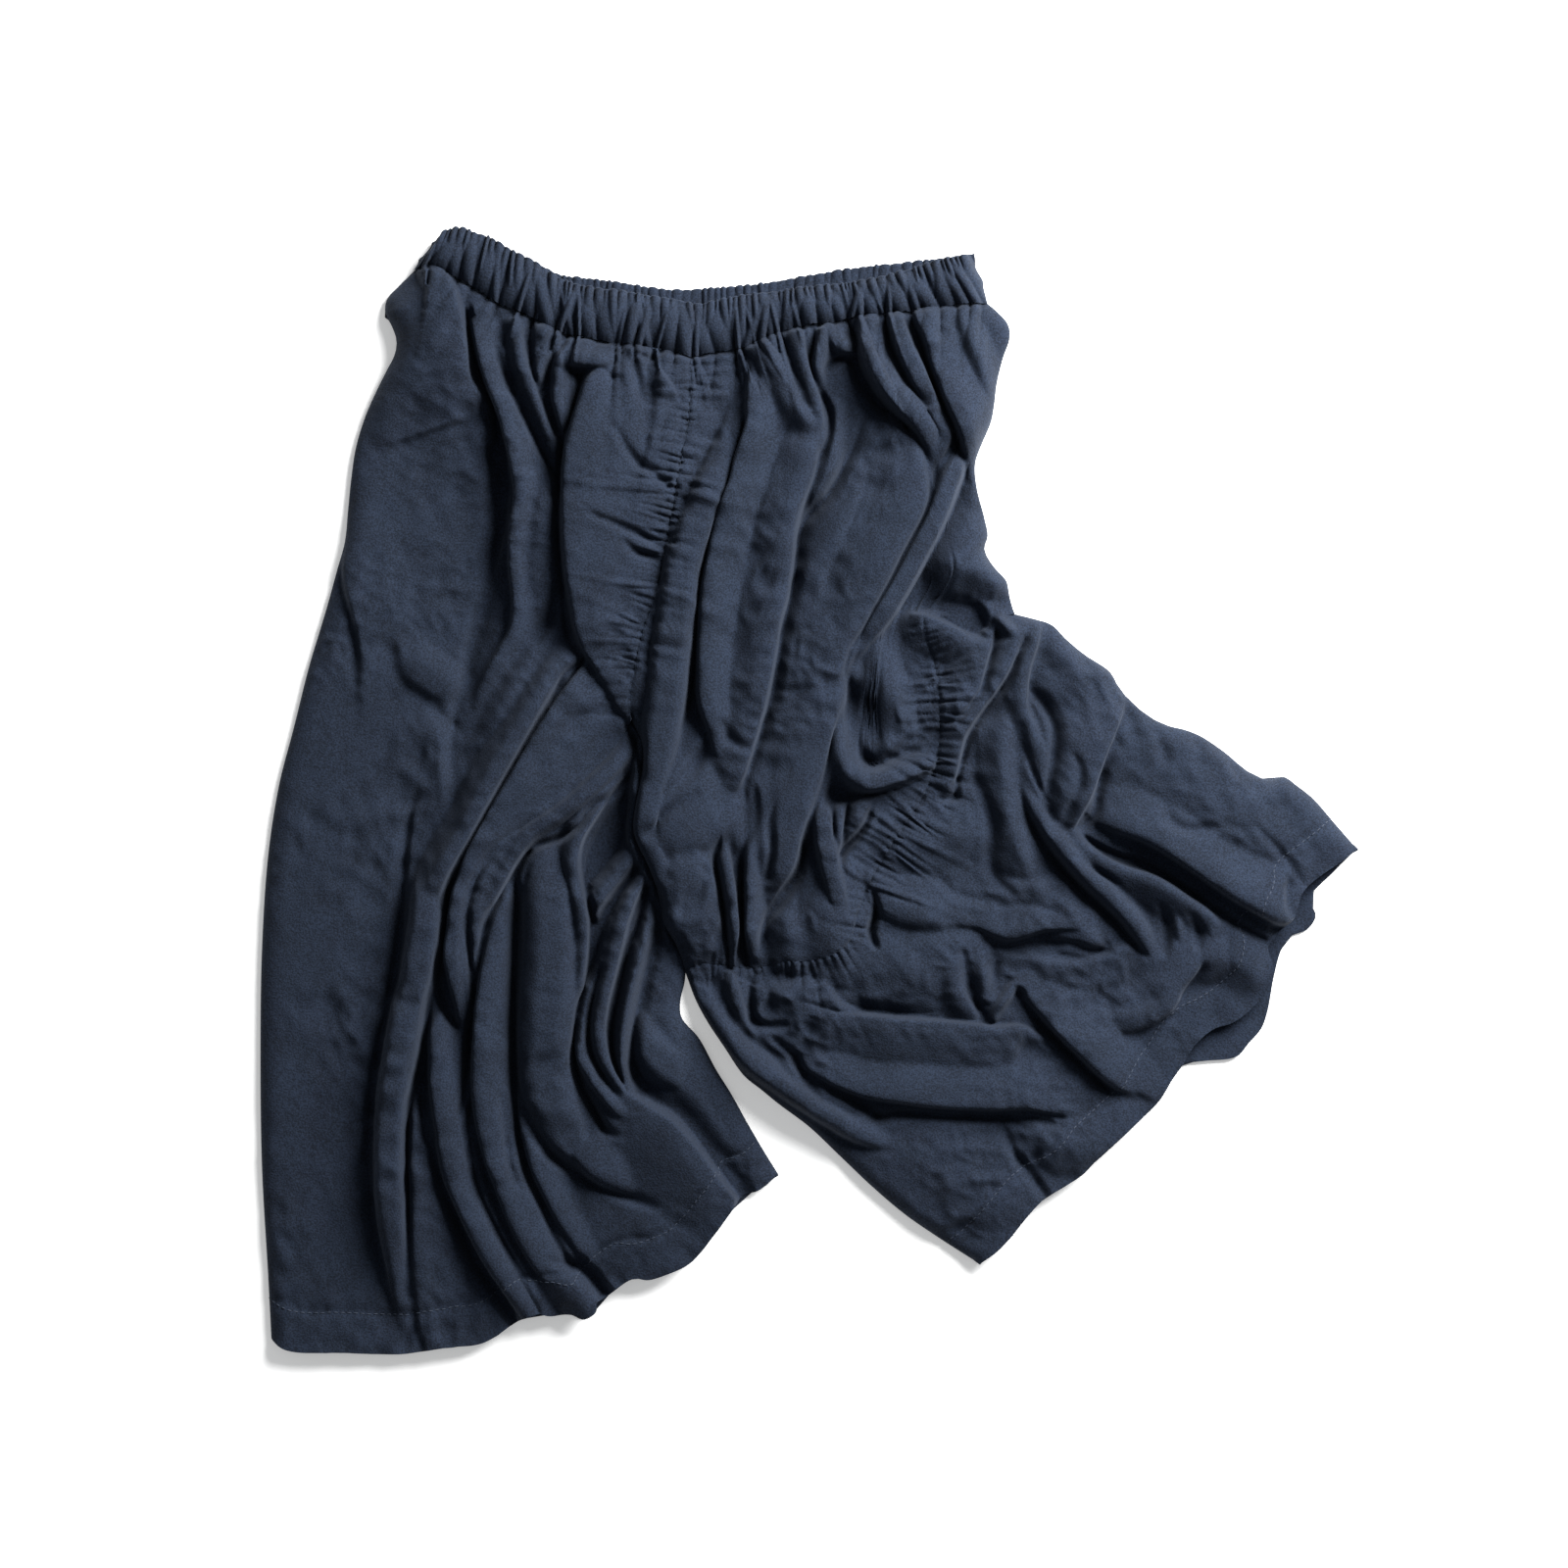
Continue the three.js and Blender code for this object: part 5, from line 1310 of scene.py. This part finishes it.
# ---- Front of the left leg -----------------------------------------------------------------------
# One panel from the waist seam to the hem. It is puffed up to the left of the shirred centre seam,
# and below the crotch it runs in long rolls down to the hem.

SIDE_ROUND = 15.0  # over this width the cloth turns round the side of the leg
GATHER_RISE = 8.5  # gathers under the waistband
PUCKER_MM = 4.2  # from one pucker to the next along a shirred seam
PUCKER_RISE = 4.4  # how far a pucker stands out
HEM_DEPTH = 26.0  # from the edge to the line of stitches that holds the hem up


def dip(off, depth, width):
    """A seam or a row of stitches sinks in."""
    return -depth * np.exp(-((off / width) ** 2))


def hem_dip(xy, name):
    """The line of stitches pulls the cloth in a little, and the doubled hem below it is puffed up."""
    off = from_curve(xy, name)[0] - HEM_DEPTH
    return dip(off, 1.5, 1.6) + 0.5 * np.exp(-(((off + 9) / 8) ** 2))


def under_waist(xy):
    """Gathers that run down from the waist seam and fade out."""
    far, _, along = from_curve(xy, "waist_seam")
    length = length_of(CURVES["waist_seam"][::3])
    height = gathers(along, far, length, PLEAT_MM, 11, 28, spread=0.02, uneven=0.65, slanted=0.2)
    return GATHER_RISE * (height - 0.45 * np.exp(-far / 14)) + dip(far, 4.0, 2.4)


def shirred(xy, name, strength):
    """Puckers across a seam with elastic thread in it. strength is how strong they are from the
    seam's start to its end."""
    far, side, along = from_curve(xy, name)
    length = length_of(CURVES[name][::3])
    one = gathers(along, far, length, PUCKER_MM, 31, 11)
    other = gathers(along, far, length, PUCKER_MM * 1.25, 37, 14)
    height = np.where(side > 0, np.maximum(one, 0.8 * other), np.maximum(0.9 * one, other))
    strong = np.interp(along / length, np.linspace(0, 1, len(strength)), strength)
    return strong * (PUCKER_RISE * (height - 0.5 * np.exp(-((far / 9) ** 2))) + dip(far, 1.4, 1.5))


def on_from(first, *others):
    """One curve that runs on through others, each of which starts where the last one ends."""
    return np.vstack([first] + [other[1:] for other in others])


def inseam_dip(xy):
    return dip(from_curve(xy, "inseam")[0], 2.4, 1.8)


def left_ripple(plan):
    centre = shirred(plan, "centre_seam", (0.6, 0.9, 1.3, 1.4, 1.2, 0.9, 0.6))
    return under_waist(plan) + centre + inseam_dip(plan) + hem_dip(plan, "left_hem")


meets = int(np.argmin(np.hypot(*(CURVES["waist_seam"][:, :2] - CURVES["centre_seam"][0, :2]).T)))
plan = panel(
    CURVES["waist_seam"][: meets + 1],
    CURVES["left_hem"],
    CURVES["left_side"],
    on_from(CURVES["centre_seam"], CURVES["inseam"]),
    spaced(176, (0, 0.02, 3), (1, 0.05, 1)),
    spaced(512, (0.02, 0.05, 0.6), (0.2, 0.17, 1.7)),
)
points = draped(plan, [("left_side", SIDE_ROUND)], left_ripple, 0.02)
left_front = made_of_cloth("left_front_cloth", (points, under(points)))
hems = {"left_front_hem_stitches": points}
sewn(left_front, "left_front", flat=(0.34, 0.72), held="laid", area=0.16)

# ---- Back of the left leg ------------------------------------------------------------------------
# The leg is twisted, so its back panel lies on the surface, wraps round the leg's inner edge and
# comes up to the inseam on top, where it falls in close rolls and a turned-over lobe.

BACK = 1.2  # thickness of the cloth that lies on the surface


def pressed(plan, seed, wave=1.0):
    """A panel that lies on the surface: flat below, softly uneven above."""
    uneven = on_grid(crumple(30, seed), plan) * 0.35 + on_grid(crumple(11, seed + 1), plan) * 0.2
    top = np.concatenate([plan, (BACK + wave * np.clip(0.45 + uneven, 0, None))[..., None]], -1)
    below = np.concatenate([plan, np.full(plan.shape[:2] + (1,), 0.0)], -1)
    return top, below


def back_centre(name):
    """The centre back seam, and on down the inner side of a leg."""
    crotch = CURVES[name][0, :2]
    return on_from(evenly(np.array([back_seam[half, :2], crotch]), 60), CURVES[name][:, :2])


def turned_ripple(plan):
    return inseam_dip(plan) + hem_dip(plan, "turned_hem")


half = len(back_seam) // 2
plan = panel(
    back_seam[: half + 1],
    on_from(CURVES["left_hem"], CURVES["turned_hem"]),
    CURVES["left_side"],
    back_centre("left_inner"),
    spaced(90),
    spaced(180),
)
under_layer = pressed(plan, 41)
plan = panel(
    np.array([[-114.0, 46], [-113.0, 46]]),
    CURVES["turned_hem"],
    CURVES["inseam"],
    CURVES["left_inner"],
    spaced(160),
    spaced(320),
)
points = draped(plan, [("left_inner", 12)], turned_ripple, 0.025)
left_back = made_of_cloth("left_back_cloth", (points, under(points)), under_layer)
hems["left_back_hem_stitches"] = points
sewn(left_back, "left_back", flat=(0.47, 0.74), held="laid", area=0.26)

# ---- Right leg down to the knee seam -------------------------------------------------------------
# The front panel falls from the waist in wide drapes and is drawn in by the shirred knee seam; the
# back panel lies under it.

knee_strength = (0.8, 0.9, 0.9, 0.8, 1.1, 1.1, 1.0, 1.0, 1.0, 0.7)
knee_edge = on_from(CURVES["knee_seam"], CURVES["tucked_edge"])


def right_ripple(plan):
    centre = shirred(plan, "centre_seam", (0.9, 1.3, 1.8, 1.8, 1.4, 0.9, 0.6))
    return under_waist(plan) + centre + shirred(plan, "knee_seam", knee_strength)


plan = panel(
    CURVES["waist_seam"][meets:],
    knee_edge,
    on_from(CURVES["centre_seam"], CURVES["right_inner"]),
    CURVES["right_side"],
    spaced(384),
    spaced(234, (0.03, 0.06, 0.6), (1, 0.06, 1.2)),
)
points = draped(plan, [("right_side", 12), ("right_inner", 9)], right_ripple, 0.03)
right_upper = made_of_cloth("right_upper_front_cloth", (points, under(points)))
sewn(right_upper, "right_upper_front", flat=(0.30, 0.47), held="laid", area=0.1)

plan = panel(
    back_seam[half:], knee_edge, back_centre("right_inner"), CURVES["right_side"], spaced(90), spaced(120)
)
right_upper_back = made_of_cloth("right_upper_back_cloth", pressed(plan, 51))
sewn(right_upper_back, "right_upper_back", flat=(0.30, 0.45), held="laid", area=0.1)

# ---- Lower panel of the right leg ----------------------------------------------------------------
# A wide panel gathered on to the knee seam. The leg is swept out to the right, so the panel fans out
# in diagonal folds to its hem.


def lower_ripple(plan):
    return shirred(plan, "knee_seam", knee_strength) + hem_dip(plan, "right_hem")


upper_side = on_from(CURVES["tucked_edge"], CURVES["folded_edge"])
seam_down = CURVES["knee_seam"][::-1]
plan = panel(
    upper_side,
    CURVES["inner_edge"],
    seam_down,
    CURVES["right_hem"][::-1],
    spaced(188, (0, 0.06, 2.0)),
    spaced(480),
)
points = draped(plan, [("folded_edge", 12), ("inner_edge", 10)], lower_ripple, 0.03)
right_lower = made_of_cloth("right_lower_front_cloth", (points, under(points)))
hems["right_hem_stitches"] = points.transpose(1, 0, 2)
sewn(right_lower, "right_lower_front", flat=(0.45, 0.43), held="laid", area=0.13)

back_hem = CURVES["back_right_hem"][::-1]
plan = panel(upper_side, CURVES["inner_edge"], seam_down, back_hem, spaced(120), spaced(120))
right_lower_back = made_of_cloth("right_lower_back_cloth", pressed(plan, 61, 2.0))
sewn(right_lower_back, "right_lower_back", flat=(0.45, 0.43), held="laid", area=0.105)

# ---- Hem stitches --------------------------------------------------------------------------------
# Each hem is turned up and held by one row of lockstitches in navy cotton-wrapped thread, which sink
# a little into the cloth.

STITCH_PITCH = 4.2  # real stitches are 2.8 mm apart; drawn coarser, so that they show
STITCH_LONG = 3.0
STITCH_WIDE = 0.8
FIBRES = 900.0  # lighter and darker fibres in a metre of thread

thread = bpy.data.materials.new("matt cotton-wrapped sewing thread, navy")
thread.use_nodes = True
fibre = add_node(thread.node_tree, "ShaderNodeTexNoise", {"Scale": FIBRES, "Detail": 2.0})
twist = add_node(thread.node_tree, "ShaderNodeMix", {"Factor": fibre.outputs[0]}, data_type="RGBA")
twist.inputs[6].default_value = linear("#161c28")
twist.inputs[7].default_value = linear("#2b3546")
thread_shader = thread.node_tree.nodes["Principled BSDF"]
thread.node_tree.links.new(twist.outputs[2], thread_shader.inputs["Base Color"])
thread_shader.inputs["Roughness"].default_value = 0.8


def hem_line(points):
    """The line on the cloth at the depth of the hem, up from the last row of points."""
    up = points[::-1]
    deep = np.cumsum(np.insert(np.linalg.norm(np.diff(up, axis=0), axis=-1), 0, 0, axis=0), axis=0)
    normal = directions(up)
    line = []
    for column in range(4, up.shape[1] - 4):
        place = [np.interp(HEM_DEPTH, deep[:, column], up[:, column, k]) for k in range(3)]
        flat = abs(np.interp(HEM_DEPTH, deep[:, column], normal[:, column, 2]))
        line.append(np.array(place) + [0, 0, 0.2 * flat])
    return np.array(line)


def row_of_stitches():
    """A tree that sets stitches along the edges of a mesh."""
    tree = bpy.data.node_groups.new("row of stitches", "GeometryNodeTree")
    face = tree.interface
    face.new_socket("Line", in_out="INPUT", socket_type="NodeSocketGeometry")
    for name in ("Pitch", "Long", "Wide"):
        face.new_socket(name, in_out="INPUT", socket_type="NodeSocketFloat")
    face.new_socket("Stitches", in_out="OUTPUT", socket_type="NodeSocketGeometry")
    given = tree.nodes.new("NodeGroupInput").outputs
    line = add_node(tree, "GeometryNodeMeshToCurve", {0: given[0]})
    even = add_node(
        tree, "GeometryNodeResampleCurve",
        {"Curve": line.outputs[0], "Length": given[1]}, mode="LENGTH",
    )
    along = tree.nodes.new("GeometryNodeInputTangent")
    turn = add_node(tree, "FunctionNodeAlignRotationToVector", {"Vector": along.outputs[0]}, axis="Z")
    stitch = add_node(tree, "GeometryNodeMeshUVSphere", {"Segments": 6, "Rings": 4, "Radius": 0.5})
    size = add_node(tree, "ShaderNodeCombineXYZ", {0: given[3], 1: given[3], 2: given[2]})
    place = add_node(
        tree, "GeometryNodeInstanceOnPoints",
        {
            "Points": even.outputs[0],
            "Instance": stitch.outputs[0],
            "Rotation": turn.outputs[0],
            "Scale": size.outputs[0],
        },
    )
    real = add_node(tree, "GeometryNodeRealizeInstances", {0: place.outputs[0]})
    coat = add_node(tree, "GeometryNodeSetMaterial", {0: real.outputs[0], "Material": thread})
    out = tree.nodes.new("NodeGroupOutput")
    tree.links.new(coat.outputs[0], out.inputs[0])
    return tree


stitches_tree = row_of_stitches()
sockets = [item.identifier for item in stitches_tree.interface.items_tree if item.in_out == "INPUT"]
for name, points in hems.items():
    line = hem_line(points)
    mesh = bpy.data.meshes.new(name)
    mesh.from_pydata((line * MM).tolist(), [(i, i + 1) for i in range(len(line) - 1)], [])
    guide = bpy.data.objects.new(name + "_guide", mesh)
    bpy.context.scene.collection.objects.link(guide)
    rows = guide.modifiers.new("stitches", "NODES")
    rows.node_group = stitches_tree
    for key, value in zip(sockets[1:], (STITCH_PITCH, STITCH_LONG, STITCH_WIDE)):
        rows[key] = value * MM
    guide.update_tag()
    made = guide.evaluated_get(bpy.context.evaluated_depsgraph_get())
    plain = bpy.data.meshes.new_from_object(made)
    guide.modifiers.clear()
    bpy.data.objects.remove(guide)
    stitches = bpy.data.objects.new(name, plain)
    bpy.context.scene.collection.objects.link(stitches)
    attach(stitches, "root")

# ---- Stage ---------------------------------------------------------------------------------------
bpy.ops.mesh.primitive_plane_add(size=8, location=(0, 0, -0.0005))
floor = bpy.context.object
floor.name = "floor"
pale = bpy.data.materials.new("pale floor")
pale.use_nodes = True
pale_shader = pale.node_tree.nodes["Principled BSDF"]
pale_shader.inputs["Base Color"].default_value = linear("#f4f4f3")
pale_shader.inputs["Roughness"].default_value = 0.9
pale_shader.inputs["Emission Color"].default_value = linear("#f4f4f3")
pale_shader.inputs["Emission Strength"].default_value = 0.34
floor.data.materials.append(pale)

bpy.context.scene.view_settings.view_transform = "Standard"
world = bpy.data.worlds.new("soft room")
bpy.context.scene.world = world
world.use_nodes = True
world.node_tree.nodes["Background"].inputs[0].default_value = linear("#eef1f5")
world.node_tree.nodes["Background"].inputs[1].default_value = 0.30


def soft_light(name, place, size, power):
    light = bpy.data.lights.new(name, "AREA")
    light.shape = "DISK"
    light.size = size
    light.energy = power
    lamp = bpy.data.objects.new(name, light)
    lamp.location = place
    lamp.rotation_euler = (-Vector(place)).to_track_quat("-Z", "Y").to_euler()
    bpy.context.scene.collection.objects.link(lamp)


soft_light("window", (0.95, 1.0, 0.95), 1.1, 122)

SENSOR = 36
CAMERA_HEIGHT = 3.2  # in metres, as are the next two
CLOTH_HEIGHT = 0.01
SEEN_WIDTH = 1.0  # how wide a stretch the camera sees at the height of the cloth
camera = bpy.data.cameras.new("camera")
camera.sensor_width = SENSOR
camera.lens = SENSOR * (CAMERA_HEIGHT - CLOTH_HEIGHT) / SEEN_WIDTH
overhead = bpy.data.objects.new("camera", camera)
overhead.location = (-0.01625, 0.0053, CAMERA_HEIGHT)
bpy.context.scene.collection.objects.link(overhead)
bpy.context.scene.camera = overhead
